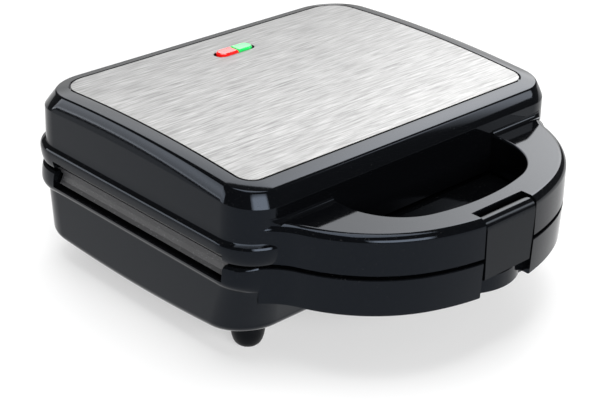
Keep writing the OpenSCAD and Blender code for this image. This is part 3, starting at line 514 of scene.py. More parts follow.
# %% [markdown]
# Every finish is a Principled BSDF. The helper sets the constants on its own sockets; masks from
# the groups are mapped to a range and linked to colour, roughness or bump.


# %% Helpers for finishes
def new_finish(name, base, roughness, **constants):
    """A material with a Principled BSDF; returns the material, its tree and the shader."""
    material = bpy.data.materials.new(name)
    material.use_nodes = True
    tree = material.node_tree
    shader = tree.nodes["Principled BSDF"]
    shader.inputs["Base Color"].default_value = (*base, 1)
    shader.inputs["Roughness"].default_value = roughness
    for key, value in constants.items():
        shader.inputs[key.replace("_", " ")].default_value = value
    material.diffuse_color = (*base, 1)
    return material, tree, shader


def place_group(tree, group, **values):
    """The group as a node in a material, with its own values."""
    node = tree.nodes.new("ShaderNodeGroup")
    node.node_tree = group
    for key, value in values.items():
        node.inputs[key.replace("_", " ")].default_value = value
    return node


def blended(tree, mask, a, b):
    """Colour a where the mask is 0, colour b where it is 1."""
    node = tree.nodes.new("ShaderNodeMix")
    node.data_type = "RGBA"
    tree.links.new(mask, node.inputs["Factor"])
    for socket, colour in zip((s for s in node.inputs if s.type == "RGBA"), (a, b)):
        if isinstance(colour, bpy.types.NodeSocket):
            tree.links.new(colour, socket)
        else:
            socket.default_value = (*colour, 1)
    return next(s for s in node.outputs if s.type == "RGBA")


def relief(tree, shader, height, depth_mm, strength=1.0):
    """Bump of a real depth from a height mask."""
    bump = add_node(tree, "ShaderNodeBump", Height=height, Strength=strength, Distance=depth_mm * MM)
    tree.links.new(bump.outputs[0], shader.inputs["Normal"])


# %% [markdown]
# The housings come from a polished mould, so they are nearly a mirror. A plain dark shader would
# look like lacquer, so the roughness varies a little, a wave a hundredth of a millimetre deep
# bends the reflections, and dust lies on what faces up. The latch and the feet have the same
# recipe with a coarser grain. The blue cast of the photograph's reflections is a specular tint.


# %% Black plastic and rubber
HOUSING_BLACK, HOUSING_TINT = (0.0018, 0.002, 0.0025), (0.68, 0.8, 1.0, 1)
SATIN_TINT = (0.72, 0.84, 1.0, 1)


def gloss_black():
    """Polished mould, so nearly a mirror, with dust and the faintest waviness."""
    material, tree, shader = new_finish("housing_gloss_black", HOUSING_BLACK, 0.06, IOR=1.5)
    shader.inputs["Specular IOR Level"].default_value = 0.2
    shader.inputs["Specular Tint"].default_value = HOUSING_TINT
    wave = place_group(tree, MOULDING, Wave_Size=24.0, Grain_Size=1400.0)
    dust = place_group(tree, DUST, Speck_Size=900.0, Amount=0.35)
    colour = blended(tree, dust.outputs["Mask"], HOUSING_BLACK, (0.12, 0.12, 0.115))
    tree.links.new(colour, shader.inputs["Base Color"])
    rough = mapped(tree, wave.outputs["Grain"], 0.04, 0.09)
    dusty = add_node(
        tree, "ShaderNodeMath", {"operation": "MULTIPLY_ADD"}, i0=dust.outputs["Mask"], i1=0.5, i2=rough
    )
    tree.links.new(dusty.outputs[0], shader.inputs["Roughness"])
    relief(tree, shader, wave.outputs["Wave"], 0.012)
    return material


def satin_black(name, base, roughness, grain_mm, specular):
    """Fine-textured moulding or rubber: broad soft sheen and a visible grain."""
    material, tree, shader = new_finish(name, base, roughness, IOR=1.5)
    shader.inputs["Specular IOR Level"].default_value = specular
    shader.inputs["Specular Tint"].default_value = SATIN_TINT
    grain = place_group(tree, MOULDING, Wave_Size=40.0, Grain_Size=1800.0)
    dust = place_group(tree, DUST, Speck_Size=800.0, Amount=0.4)
    colour = blended(tree, dust.outputs["Mask"], base, (0.08, 0.08, 0.078))
    tree.links.new(colour, shader.inputs["Base Color"])
    rough = mapped(tree, grain.outputs["Wave"], roughness - 0.06, roughness + 0.06)
    tree.links.new(rough, shader.inputs["Roughness"])
    relief(tree, shader, grain.outputs["Grain"], grain_mm)
    return material


GLOSS = gloss_black()
SATIN = satin_black("latch_satin_black", (0.002, 0.0022, 0.0028), 0.09, 0.004, 0.17)
RUBBER = satin_black("rubber_black", (0.002, 0.002, 0.0022), 0.42, 0.04, 0.08)

# %% [markdown]
# The trim is stainless sheet brushed from left to right. Its lines show in the photograph, so they
# are drawn by noise stretched along X: one set changes tone, roughness and bump, and a second,
# wider set gives the slow streaks.


# %% Brushed metal
def brushed_metal():
    """Stainless trim brushed from left to right, with streaks a shade darker and lighter."""
    base = (0.24, 0.24, 0.238)
    material, tree, shader = new_finish("trim_brushed_metal", base, 0.42, Metallic=1.0)
    brush = place_group(tree, BRUSHING, Along=45.0, Across=800.0)
    streaks = place_group(tree, BRUSHING, Along=14.0, Across=420.0)
    tone = mapped(tree, brush.outputs["Lines"], 0.0, 1.0, 0.3, 0.7)
    colour = blended(tree, tone, (0.11, 0.11, 0.11), (0.37, 0.37, 0.367))
    slow = mapped(tree, streaks.outputs["Streaks"], 0.0, 0.4, 0.35, 0.65)
    colour = blended(tree, slow, colour, base)
    tree.links.new(colour, shader.inputs["Base Color"])
    rough = mapped(tree, brush.outputs["Streaks"], 0.36, 0.48)
    tree.links.new(rough, shader.inputs["Roughness"])
    relief(tree, shader, brush.outputs["Lines"], 0.03, 0.6)
    return material


METAL_TRIM = brushed_metal()

# %% [markdown]
# The plates are cast aluminium under a non-stick coat. Its fine pale specks are the middles of
# Voronoi cells, and a noise picks which of the cells have one.


# %% Non-stick coat
def non_stick():
    """Cast aluminium under a dark coating with fine pale specks."""
    base = (0.045, 0.045, 0.048)
    material, tree, shader = new_finish("plate_non_stick", base, 0.42, IOR=1.45)
    place = add_node(tree, "ShaderNodeTexCoord").outputs["Object"]
    cells = add_node(tree, "ShaderNodeTexVoronoi", Vector=place, Scale=1100.0)
    speck = mapped(tree, cells.outputs["Distance"], 1.0, 0.0, 0.12, 0.3)
    pick = add_node(tree, "ShaderNodeTexNoise", Vector=place, Scale=600.0, Detail=1.0)
    chosen = mapped(tree, pick.outputs["Fac"], 0.0, 1.0, 0.5, 0.62)
    colour = blended(tree, product(tree, speck, chosen), base, (0.22, 0.22, 0.23))
    tree.links.new(colour, shader.inputs["Base Color"])
    grain = place_group(tree, MOULDING, Wave_Size=60.0, Grain_Size=1500.0)
    tree.links.new(mapped(tree, grain.outputs["Wave"], 0.36, 0.5), shader.inputs["Roughness"])
    relief(tree, shader, grain.outputs["Grain"], 0.04)
    return material


COATING = non_stick()

# %% [markdown]
# Screws, clamps, pins and reflectors are bare or zinc-plated steel, whose tone and roughness are
# never quite even. The heater's sheath has been hot, so it runs from brown to blue.


# %% Bare and heated metal
def bare_metal(name, base, roughness, spread=0.08):
    """Plated or rolled metal with a little unevenness."""
    material, tree, shader = new_finish(name, base, roughness, Metallic=1.0)
    grain = place_group(tree, MOULDING, Wave_Size=90.0, Grain_Size=1200.0)
    rough = mapped(tree, grain.outputs["Wave"], roughness - spread, roughness + spread)
    tree.links.new(rough, shader.inputs["Roughness"])
    darker = tuple(c * 0.8 for c in base)
    tree.links.new(blended(tree, grain.outputs["Grain"], base, darker), shader.inputs["Base Color"])
    relief(tree, shader, grain.outputs["Grain"], 0.01)
    return material


def heat_tinted():
    """Heater sheath: steel gone brown and blue where it glows hottest."""
    material, tree, shader = new_finish("heater_sheath", (0.3, 0.27, 0.24), 0.45, Metallic=1.0)
    grain = place_group(tree, MOULDING, Wave_Size=70.0, Grain_Size=900.0)
    colour = blended(tree, grain.outputs["Wave"], (0.34, 0.3, 0.26), (0.2, 0.19, 0.22))
    tree.links.new(colour, shader.inputs["Base Color"])
    relief(tree, shader, grain.outputs["Grain"], 0.02)
    return material


PLATED = bare_metal("zinc_plated_steel", (0.62, 0.62, 0.63), 0.3)
REFLECTIVE = bare_metal("reflector_sheet", (0.78, 0.79, 0.8), 0.22)
SHEATH = heat_tinted()

# %% [markdown]
# The lenses are clear coloured plastic that glows a little. Real glass would show the dark inside
# of the lid, so they are opaque, with some scattering, a coat and a faint emission. The lamps
# behind them are thin glass, and the parts that stand the heat are chalky.


# %% Lenses, lamps and ceramic
LENS_GLOW, LENS_SCATTER = 0.35, 0.25


def tinted_lens(name, base):
    """Coloured clear plastic over a pale holder, glossy and lit a little from inside."""
    material, tree, shader = new_finish(name, base, 0.12, IOR=1.49, Coat_Weight=0.6, Coat_Roughness=0.04)
    shader.inputs["Emission Color"].default_value = (*base, 1)
    shader.inputs["Emission Strength"].default_value = LENS_GLOW
    shader.inputs["Subsurface Weight"].default_value = LENS_SCATTER
    shader.inputs["Subsurface Radius"].default_value = (0.002, 0.002, 0.002)
    grain = place_group(tree, MOULDING, Wave_Size=220.0, Grain_Size=2400.0)
    deeper = tuple(c * 0.72 for c in base)
    tree.links.new(blended(tree, grain.outputs["Wave"], base, deeper), shader.inputs["Base Color"])
    relief(tree, shader, grain.outputs["Wave"], 0.01)
    return material


def chalky(name, base, roughness=0.8):
    """Unglazed ceramic, glass sleeve or heat-resistant resin."""
    material, tree, shader = new_finish(name, base, roughness)
    grain = place_group(tree, MOULDING, Wave_Size=120.0, Grain_Size=1600.0)
    darker = tuple(c * 0.86 for c in base)
    tree.links.new(blended(tree, grain.outputs["Grain"], base, darker), shader.inputs["Base Color"])
    relief(tree, shader, grain.outputs["Grain"], 0.05)
    return material


def lamp_glass():
    """Thin glass of a small neon lamp, faintly smoked and drawn."""
    material, tree, shader = new_finish(
        "lamp_glass", (1.0, 0.8, 0.6), 0.05, Transmission_Weight=1.0, IOR=1.5
    )
    drawn = place_group(tree, MOULDING, Wave_Size=400.0, Grain_Size=2000.0)
    colour = blended(tree, drawn.outputs["Wave"], (1.0, 0.84, 0.66), (0.9, 0.7, 0.5))
    tree.links.new(colour, shader.inputs["Base Color"])
    tree.links.new(mapped(tree, drawn.outputs["Grain"], 0.03, 0.09), shader.inputs["Roughness"])
    return material


RED = tinted_lens("lens_red", (0.85, 0.006, 0.004))
GREEN = tinted_lens("lens_green", (0.006, 0.62, 0.11))
CERAMIC = chalky("ceramic_white", (0.74, 0.72, 0.68))
SLEEVE = chalky("glass_fibre_sleeve", (0.7, 0.62, 0.48))
LAMP = lamp_glass()
print("finishes:", sorted(m.name for m in bpy.data.materials))


# %% Put a finish on a piece
def finish_piece(piece, material, body, slot, *nodes):
    """Gives a new piece its finish and body, and hides the CAD nodes that it stands for; slot is not used."""
    piece.data.materials.clear()
    piece.data.materials.append(material)
    even = piece.modifiers.new("even", "WEIGHTED_NORMAL")
    even.keep_sharp = True
    even.weight = 50
    apply_modifiers(piece)
    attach(piece, body)
    if nodes:
        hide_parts(*nodes)
    print(f"{piece.name}: {len(piece.data.polygons)} faces")
    return piece


# %% [markdown]
# ## Handle
# Both halves of the handle have one plan: a wide arc in front, two shoulder arcs, and a hollow
# curve that runs into the housing's corner. Three circles that touch each other give it, so we
# find the hollow curve's centre from the other two and need no drawn points.

# %% Handle and finger opening in plan
HANDLE_FRONT, FRONT_R, SHOULDER_R, FRONT_ANGLE, ROOT_R = 164.0, 134.0, 88.0, 21.0, 34.0
GRIP_BAR, GRIP_HALF_W, GRIP_FRONT_R, GRIP_CORNER_R = 21.0, 62.0, 136.0, 37.0
ARC_STEPS = 40


def polar(v):
    """The angle of a vector, in degrees."""
    return math.degrees(math.atan2(v[1], v[0]))


def handle_centres():
    """Centres of the corner, front, shoulder and root circles."""
    corner = Vector((BODY[0] - BODY[3], BODY[1] + BODY[3]))
    front = Vector((0, -HANDLE_FRONT + FRONT_R))
    a = math.radians(FRONT_ANGLE)
    shoulder = front + (FRONT_R - SHOULDER_R) * Vector((math.sin(a), -math.cos(a)))
    near, far = SHOULDER_R + ROOT_R, BODY[3] + ROOT_R
    span = corner - shoulder
    along = (near**2 - far**2 + span.length**2) / (2 * span.length)
    off = math.sqrt(near**2 - along**2)
    direction = span.normalized()
    root = shoulder + along * direction + off * Vector((direction.y, -direction.x))
    return corner, front, shoulder, root


CORNER_C, FRONT_C, SHOULDER_C, ROOT_C = handle_centres()


def handle_half(t):
    """The right half of the handle's plan, moved in by t; it ends inside the housing's corner."""
    corner, shoulder, root = CORNER_C, SHOULDER_C, ROOT_C
    front = []
    for i in range(ARC_STEPS):
        a = math.radians(FRONT_ANGLE * (i + 0.5) / ARC_STEPS)
        front.append((FRONT_C.x + (FRONT_R - t) * math.sin(a), FRONT_C.y - (FRONT_R - t) * math.cos(a)))
    end = polar(root - shoulder)
    stop = polar(corner - root)
    return (
        front
        + arc(shoulder.x, shoulder.y, SHOULDER_R - t, FRONT_ANGLE - 90, end, ARC_STEPS)
        + arc(root.x, root.y, ROOT_R + t, end + 180, stop, ARC_STEPS)
        + [(corner.x, corner.y)]
    )


def grip_half(t):
    """The right half of the finger opening, moved out by t, running into the front wall."""
    centre_y = -HANDLE_FRONT + GRIP_BAR + GRIP_FRONT_R
    corner_x = GRIP_HALF_W - GRIP_CORNER_R
    span = GRIP_FRONT_R - GRIP_CORNER_R
    corner_y = centre_y - math.sqrt(span**2 - corner_x**2)
    angle = math.degrees(math.asin(corner_x / span))
    front = []
    for i in range(ARC_STEPS):
        a = math.radians(angle * (i + 0.5) / ARC_STEPS)
        front.append(((GRIP_FRONT_R + t) * math.sin(a), centre_y - (GRIP_FRONT_R + t) * math.cos(a)))
    corner = arc(corner_x, corner_y, GRIP_CORNER_R + t, angle - 90, 0, ARC_STEPS)
    return front + corner + [(GRIP_HALF_W + t, BODY[1] + 6)]


def level(half, z):
    """A half outline mirrored, at a height."""
    return [(x, y, z) for x, y in mirrored(half)]


print("handle root circle at", tuple(round(c, 1) for c in ROOT_C))

# %% [markdown]
# ## Upper housing
# The lid is a shell: one skin outside, one inside, and a rounded rim round its lower edge. The
# handle half is a loft of its own with a rounded upper edge. We join the two, and then cut what a
# mould would leave open: the hollow under the handle, the windows in the sides where the hot
# plates' skirts show, the notch for the latch, and the slot for the lamps. Polygon modelling
# would do as well, but a loft keeps the rings even, and the gloss shows every uneven one.

# %% Heights and walls of the housings
WALL = 2.6
LID_BOTTOM, BASE_TOP = PARTING + 1, PARTING - 1
LID_RIM_Z, BASE_RIM_Z = PARTING + 9.6, PARTING - 9.6
RIM_OUT = 3.0
RECESS_FLOOR = TRIM_TOP - 0.7
WALL_TOP = TRIM_TOP - 12
CEILING = RECESS_FLOOR - WALL
HANDLE_TOP, HANDLE_BOTTOM = PARTING + 23.3, PARTING - 22.4
HANDLE_EDGE_R = 4.6
FILLET_R = 2.6
LATCH_W, LATCH_T, LATCH_GAP = 38.0, 3.0, 0.9
BARREL_R = 5.0
NOTCH_HALF = LATCH_W / 2 + LATCH_GAP
NOTCH_BACK = BARREL_Y + BARREL_R + 0.8
CATCH_WALL = LATCH_FACE + LATCH_T + 6.8
FRONT_OUT = -HANDLE_FRONT - 5
WINDOW_FRONT, WINDOW_BACK = -78.0, 66.0
print(f"lid from {LID_BOTTOM:.1f} to {TRIM_TOP:.1f}, base below {BASE_TOP:.1f}")

# %% [markdown]
# ### The lid's skin
# From the parting line up, the lid has a rim with a ledge on it, a wall that leans in, a shoulder
# and a groove round the trim. The photograph shows the shoulder as three bands: a narrow hollow
# wall, a lip and a flat ring. A single quarter round mirrors none of them, so the shoulder is a
# chain of short arcs, each given by its first and last slope and its length.

# %% The lid's skin, outside and inside
RIM_LEVELS = 20
LID_RIM_FROM, LID_RIM_SPAN, LID_RIM_LEAN = -8.1, 11.4, 0.03
LEDGE_AT, LEDGE_R, LEDGE_SHARE, LEDGE_FADE = 2.4, 3.4, 0.708, 0.9
WALL_FOOT, WALL_LEVELS, WALL_CROWN = 5, 6, 0.6
LOW_WALL, HIGH_WALL = grow(BODY, -0.3), grow(BODY, -0.6)
GROOVE, GROOVE_EDGE, GROOVE_DEPTH, TRIM_SEAT = 1.3, 0.1, 0.8, 1.0
TRIM_EDGE = grow(TRIM, GROOVE)
SHOULDER_H = 11.0
SHOULDER = (2, 17, 0.4), (17, 19.5, 2.8), (19.5, 25.5, 6.6), (25.5, 80, 1.5), (80, 87, 7.6)
BACK_ROUNDING = 28.0


def shoulder_curve():
    """Shares inward and upward along the shoulder, from stretches of (first angle, last angle, mm)."""
    inward, upward = [0.0], [0.0]
    for first, last, length in SHOULDER:
        steps = max(4, round(length * 2))
        for i in range(steps):
            a = math.radians(first + (last - first) * (i + 0.5) / steps)
            inward.append(inward[-1] + math.sin(a) * length / steps)
            upward.append(upward[-1] + math.cos(a) * length / steps)
    return [(x / inward[-1], z / upward[-1]) for x, z in zip(inward, upward)]


def rim_bump(b, below=9.5):
    """Share of the rim's reach at a height b from its widest level, with a ledge on its top."""
    if b < 0:
        return math.sqrt(max(0.0, 1 - (b / below) ** 2))
    if b < LEDGE_AT:
        return math.sqrt(max(0.0, 1 - (b / LEDGE_R) ** 2))
    return LEDGE_SHARE * max(0.0, 1 - (b - LEDGE_AT) / LEDGE_FADE) ** 2


def quarter(steps, first=0):
    """Angles from first to 90 degrees, in radians."""
    return [math.radians(first + (90 - first) * i / steps) for i in range(steps + 1)]


def lid_outside():
    """The lid's outer skin, closed under the trim."""
    rings = [ring(grow(BODY, -0.5), LID_BOTTOM, 0, 1.0)]
    for i in range(RIM_LEVELS + 1):
        b = LID_RIM_FROM + LID_RIM_SPAN * i / RIM_LEVELS
        outline = grow(BODY, -LID_RIM_LEAN * max(0, b))
        rings.append(ring(outline, LID_RIM_Z + b, 0, RIM_OUT * rim_bump(b)))
    low_z, high_z = LID_RIM_Z + WALL_FOOT, TRIM_TOP - SHOULDER_H
    for i in range(WALL_LEVELS):
        t = i / WALL_LEVELS
        rings.append(ring(between(LOW_WALL, HIGH_WALL, t), between(low_z, high_z, t), WALL_CROWN * t))
    for inward, upward in shoulder_curve():
        *sides, back_r = between(HIGH_WALL, TRIM_EDGE, inward)
        outline = *sides, back_r + BACK_ROUNDING * inward * (1 - inward)
        rings.append(ring(outline, between(high_z, TRIM_TOP, upward), between(WALL_CROWN, 1, upward)))
    edge, floor = grow(TRIM_EDGE, -GROOVE_EDGE), RECESS_FLOOR - GROOVE_DEPTH
    rings += [ring(edge, TRIM_TOP - GROOVE_EDGE, 1), ring(edge, floor, 1)]
    seat = grow(TRIM, -TRIM_SEAT)
    return loft("upper_shell", rings + [ring(seat, floor, 1), ring(seat, RECESS_FLOOR, 1)])


def lid_inside():
    """The lid's hollow."""
    inner = grow(BODY, -WALL)
    top, edge = grow(inner, -1.9), grow(TRIM, -1.5)
    rings = [ring(inner, LID_BOTTOM - 1), ring(top, WALL_TOP, WALL_CROWN)]
    for a in quarter(8, 10):
        up = math.sin(a)
        outline = between(top, edge, 1 - math.cos(a))
        rings.append(ring(outline, between(WALL_TOP, CEILING, up), between(WALL_CROWN, 1, up)))
    return loft("lid_hollow", rings)


print("the shoulder has", len(shoulder_curve()), "levels")

# %% [markdown]
# ### Handle half, hollows and openings
# The handle is moulded hollow from below with a rib every few centimetres, as a thick one would
# sink in as it cools. The same plan, moved in by the wall, makes the hollow.


# %% Handle half and what is cut from it
GRIP_EDGE_R = 1.3
RIB_X, RIB_HALF = (-76, -48, 48, 76), 0.9
RIB_BACK = -98.1


def lid_handle():
    """The upper handle half, with a rounded outer edge."""
    rings = [level(handle_half(0.4), LID_BOTTOM), level(handle_half(0), LID_BOTTOM + 0.4)]
    for a in quarter(14):
        inset = 0.3 + HANDLE_EDGE_R * (1 - math.cos(a))
        rings.append(level(handle_half(inset), HANDLE_TOP - HANDLE_EDGE_R * (1 - math.sin(a))))
    return loft("lid_handle", rings)


def grip_opening():
    """The finger opening, flared at its top by a small radius."""
    r = GRIP_EDGE_R
    rings = [level(grip_half(0.5), LID_BOTTOM - 1)]
    for a in quarter(7):
        rings.append(level(grip_half(r * (1 - math.cos(a))), HANDLE_TOP - r + r * math.sin(a)))
    rings.append(level(grip_half(r), HANDLE_TOP + 0.6))
    return loft("grip_opening", rings)


def block(name, x0, x1, y0, y1, z0, z1):
    """A box between two corners."""
    return upright(name, [(x0, y0), (x1, y0), (x1, y1), (x0, y1)], z0, z1)


def hollow_cells(inset, z0, z1, with_grip):
    """Hollows of a handle half between its cross ribs, as cutters."""
    hollow = upright("hollow", mirrored(handle_half(inset)), z0, z1)
    z0, z1 = z0 - 1, z1 + 1
    notch = NOTCH_HALF + 4
    walls = [
        block("keep", -130, 130, RIB_BACK, -40, z0, z1),
        block("keep", -notch, notch, -170, NOTCH_BACK + WALL, z0, z1),
    ]
    if with_grip:
        walls.append(upright("keep", mirrored(grip_half(inset)), z0, z1))
    walls += [block("keep", x - RIB_HALF, x + RIB_HALF, -170, 0, z0, z1) for x in RIB_X]
    return combine(hollow, walls, "DIFFERENCE")


def windows(z0, z1):
    """Cutters for the windows in both sides."""
    made = []
    for side in (-1, 1):
        x0, x1 = sorted((side * (BODY[0] - 8), side * (BODY[0] + 12)))
        made.append(block("window", x0, x1, WINDOW_FRONT, WINDOW_BACK, z0, z1))
    return made


# %% [markdown]
# ### Hinge and fillet
# Two knuckles on the lid turn between ears on the base, round one pin each. A small hollow curve
# fills the corner between the handle's top and the lid's wall, and catches a line of light.


# %% Hinge knuckles, bores and fillet
HINGE_X, KNUCKLE_W, EAR_W = 70.0, 11.0, 6.0
KNUCKLE_R, KNUCKLE_OUT = 6.0, 5.98
HINGE_BORE_R, HINGE_BORE_HALF, LATCH_BORE_R = 2.05, 20, 1.55


def round_bar(name, x0, x1, y, z, r, steps=48):
    """A bar along X, to add or to cut."""
    outline = arc(y, z, r, 0, 360 - 360 / steps, steps - 1)
    return across(name, x0, x1, outline)


def lid_knuckles():
    """The lid's two hinge knuckles, each a plate that wraps the pin."""
    made = []
    for side in (-1, 1):
        x0, x1 = side * HINGE_X - KNUCKLE_W / 2, side * HINGE_X + KNUCKLE_W / 2
        made.append(round_bar("knuckle", x0, x1, HINGE_Y, PARTING, KNUCKLE_OUT))
        back = BODY[2]
        made.append(across("knuckle", x0, x1, [
            (HINGE_Y, PARTING + KNUCKLE_R), (back + 2, PARTING + 13), (back - 1.5, PARTING + 14),
            (back - 1.5, PARTING + 3), (HINGE_Y - 5.64, PARTING + 2.05),
        ]))
    return made


def hinge_bores():
    """Cutters for the hinge pins."""
    half = HINGE_BORE_HALF
    return [
        round_bar("bore", x - half, x + half, HINGE_Y, PARTING, HINGE_BORE_R) for x in (-HINGE_X, HINGE_X)
    ]


def root_fillet():
    """The hollow curve where the handle's top meets the lid's front wall."""
    rings = [ring(grow(LOW_WALL, FILLET_R), HANDLE_TOP - 1.5)]
    for a in quarter(8):
        out, up = FILLET_R * (1 - math.sin(a)), FILLET_R * (1 - math.cos(a))
        rings.append(ring(grow(LOW_WALL, out), HANDLE_TOP + up))
    fillet = loft("root_fillet", rings)
    reach = upright("reach", mirrored(handle_half(1.6)), HANDLE_TOP - 1, HANDLE_TOP + FILLET_R - 0.05)
    combine(fillet, [reach], "INTERSECT")
    gap = upright("gap", mirrored(grip_half(0.9)), HANDLE_TOP - 5, HANDLE_TOP + 9)
    return combine(fillet, [gap], "DIFFERENCE")


# %% Join and cut the upper housing
LAMP_SLOT = -12.9, 12.9, 48.9, 58.1


def build_upper_shell():
    """The whole upper housing."""
    handle = combine(lid_handle(), [grip_opening()], "DIFFERENCE")
    shell = combine(lid_outside(), [handle, root_fillet()], "UNION")
    under_barrel = BARREL_Z - BARREL_R - 0.6
    cuts = [
        lid_inside(),
        hollow_cells(WALL, LID_BOTTOM - 1, HANDLE_TOP - WALL, True),
        across("notch", -NOTCH_HALF, NOTCH_HALF, [
            (FRONT_OUT, LID_BOTTOM - 1), (CATCH_WALL, LID_BOTTOM - 1), (CATCH_WALL, under_barrel),
            (NOTCH_BACK, under_barrel), (NOTCH_BACK, HANDLE_TOP + 5), (FRONT_OUT, HANDLE_TOP + 5),
        ]),
        *windows(LID_BOTTOM - 1, LID_RIM_Z - 3.7),
        block("lamp_slot", *LAMP_SLOT, CEILING - 5, TRIM_TOP + 3),
    ]
    combine(shell, cuts, "DIFFERENCE")
    combine(shell, lid_knuckles(), "UNION")
    pin_end = NOTCH_HALF + 5
    pin_bore = round_bar("pin_bore", -pin_end, pin_end, BARREL_Y, BARREL_Z, LATCH_BORE_R)
    combine(shell, [*hinge_bores(), pin_bore], "DIFFERENCE")
    return shade(shell)


upper_shell = build_upper_shell()
finish_piece(upper_shell, GLOSS, "lid", "housing_plastic", "upper_housing")

# %% [markdown]
# ## Lower housing
# The base is a tub with a crowned bottom. Its front wall leans in, its lower edge is rounded, and
# the rim under the window flares out and fades away round the front corners. Under the latch the
# handle keeps a rounded thumb grip, and behind the latch's nose a lip runs along the notch.

# %% Skin, handle half and ears of the lower housing
BOTTOM_Z = 12.8
BOTTOM = (BODY[0] - 1.2, BODY[1] + 6.4, BODY[2] - 0.3, 25.5, 27.0)
EDGE_R = 5.0
GRIP_R = 34.0
GRIP_APEX = -HANDLE_FRONT + 2.4
GRIP_TOP = latch_box[0].z / MM - 0.9
CATCH_Z = PARTING - 7.2
CATCH_LIP = 4.2
BASE_RIM_FROM, BASE_RIM_SPAN, BASE_RIM_R = -5.4, 12.9, 11.0
BASE_WALL = grow(BODY, -0.6)
THUMB_DEPTH = 12


def base_rim_bump(b):
    """Share of the base rim's reach at a height b from its widest level."""
    if b < 0:
        return (1 - (b / BASE_RIM_FROM) ** 2) ** 0.75
    return math.sqrt(1 - (b / BASE_RIM_R) ** 2)


def base_outside():
    """The base's outer skin, closed at its top until the hollow is cut."""
    rings = []
    for a in quarter(12):
        inset, up = EDGE_R * (1 - math.sin(a)), EDGE_R * (1 - math.cos(a))
        rings.append(ring(grow(BOTTOM, -inset), BOTTOM_Z + up, -1))
    low_wall, high_wall = BOTTOM_Z + EDGE_R, BASE_RIM_Z - 5.6
    for i in range(1, WALL_LEVELS + 1):
        t = i / WALL_LEVELS
        outline = between(BOTTOM, grow(BODY, -0.8), t)
        rings.append(ring(outline, between(low_wall, high_wall, t), -1 + t, 0, BASE_RIM))
    for i in range(RIM_LEVELS + 1):
        b = BASE_RIM_FROM + BASE_RIM_SPAN * i / RIM_LEVELS
        rings.append(ring(BASE_WALL, BASE_RIM_Z + b, 0, (RIM_OUT + 0.6) * base_rim_bump(b), BASE_RIM))
    rings.append(ring(BASE_WALL, BASE_TOP - 0.6, 0, 2.0, BASE_RIM))
    rings.append(ring(grow(BODY, -0.9), BASE_TOP, 0, 1.6, BASE_RIM))
    return loft("lower_shell", rings)


def base_inside():
    """The base's hollow."""
    r = EDGE_R - WALL
    inner = grow(BOTTOM, -WALL)
    rings = []
    for a in quarter(5):
        inset, up = r * (1 - math.sin(a)), r * (1 - math.cos(a))
        rings.append(ring(grow(inner, -inset), BOTTOM_Z + WALL + up, -1))
    rings += [ring(grow(BODY, -0.8 - WALL), BASE_RIM_Z - 5), ring(grow(BODY, -WALL), BASE_TOP + 1)]
    return loft("base_hollow", rings)


def base_handle():
    """The lower handle half."""
    return loft("base_handle", [
        level(handle_half(1.6), HANDLE_BOTTOM), level(handle_half(0.9), HANDLE_BOTTOM + 0.3),
        level(handle_half(0.6), HANDLE_BOTTOM + 1), level(handle_half(0), BASE_TOP - 0.5),
        level(handle_half(0.4), BASE_TOP),
    ])


def thumb_cut():
    """Cutter that leaves a rounded grip under the latch."""
    z0, z1 = HANDLE_BOTTOM - 1, GRIP_TOP
    cutter = block("thumb", -NOTCH_HALF, NOTCH_HALF, FRONT_OUT, FRONT_OUT + THUMB_DEPTH, z0, z1)
    keep = upright("keep", arc(0, GRIP_APEX + GRIP_R, GRIP_R, 0, 360 - 3.75, 95), z0 - 1, z1 + 1)
    return combine(cutter, [keep], "DIFFERENCE")


def base_ears():
    """An ear on each side of each lid knuckle."""
    made = []
    back = BODY[2]
    for side in (-1, 1):
        for end in (-1, 1):
            x = side * HINGE_X + end * (KNUCKLE_W / 2 + 0.5 + EAR_W / 2)
            made.append(round_bar("ear", x - EAR_W / 2, x + EAR_W / 2, HINGE_Y, PARTING, KNUCKLE_OUT))
            made.append(across("ear", x - EAR_W / 2, x + EAR_W / 2, [
                (HINGE_Y - 4, PARTING - 17), (HINGE_Y + KNUCKLE_R * 0.866, PARTING - KNUCKLE_R * 0.5),
                (HINGE_Y - KNUCKLE_R * 0.5, PARTING + KNUCKLE_R * 0.866 - 6), (back - 1.5, PARTING - 5),
                (back - 2, PARTING - 24),
            ]))
    return made


# %% Join and cut the lower housing
def build_lower_shell():
    """The whole lower housing."""
    shell = combine(base_outside(), [base_handle()], "UNION")
    cuts = [
        base_inside(),
        hollow_cells(WALL, HANDLE_BOTTOM - 1, BASE_TOP - WALL, False),
        across("notch", -NOTCH_HALF, NOTCH_HALF, [
            (FRONT_OUT, GRIP_TOP), (CATCH_WALL, GRIP_TOP), (CATCH_WALL, BASE_TOP + 1),
            (FRONT_OUT, BASE_TOP + 1),
        ]),
        thumb_cut(),
        *windows(BASE_RIM_Z - 0.4, BASE_TOP + 1),
    ]
    combine(shell, cuts, "DIFFERENCE")
    ridge = across("ridge", -13, 13, [
        (CATCH_WALL + 1, CATCH_Z), (CATCH_WALL + 1, CATCH_Z + 4.8), (CATCH_WALL, CATCH_Z + 4.6),
        (CATCH_WALL - CATCH_LIP, CATCH_Z + 2.6), (CATCH_WALL - CATCH_LIP, CATCH_Z),
    ][::-1])
    combine(shell, [ridge, *base_ears()], "UNION")
    combine(shell, hinge_bores(), "DIFFERENCE")
    return shade(shell)


lower_shell = build_lower_shell()
finish_piece(lower_shell, GLOSS, "base", "housing_plastic", "lower_housing")

# %% [markdown]
# ## Trim, latch and lenses
# The trim is a punched sheet whose edge is broken by a narrow bevel, and that bevel is the bright
# line round it. The latch is a moulding with small radii on its edges. Their CAD shapes are right
# apart from those edges, so we copy the meshes, clear the flat triangles and bevel the sharp
# edges. The lenses are short stadium halves with a narrower bevel of their own.


# %% Soften the edges of the trim and the latch
WELD_GAP, FLAT_DEGREES, SHARP_DEGREES = 0.002, 0.5, 50


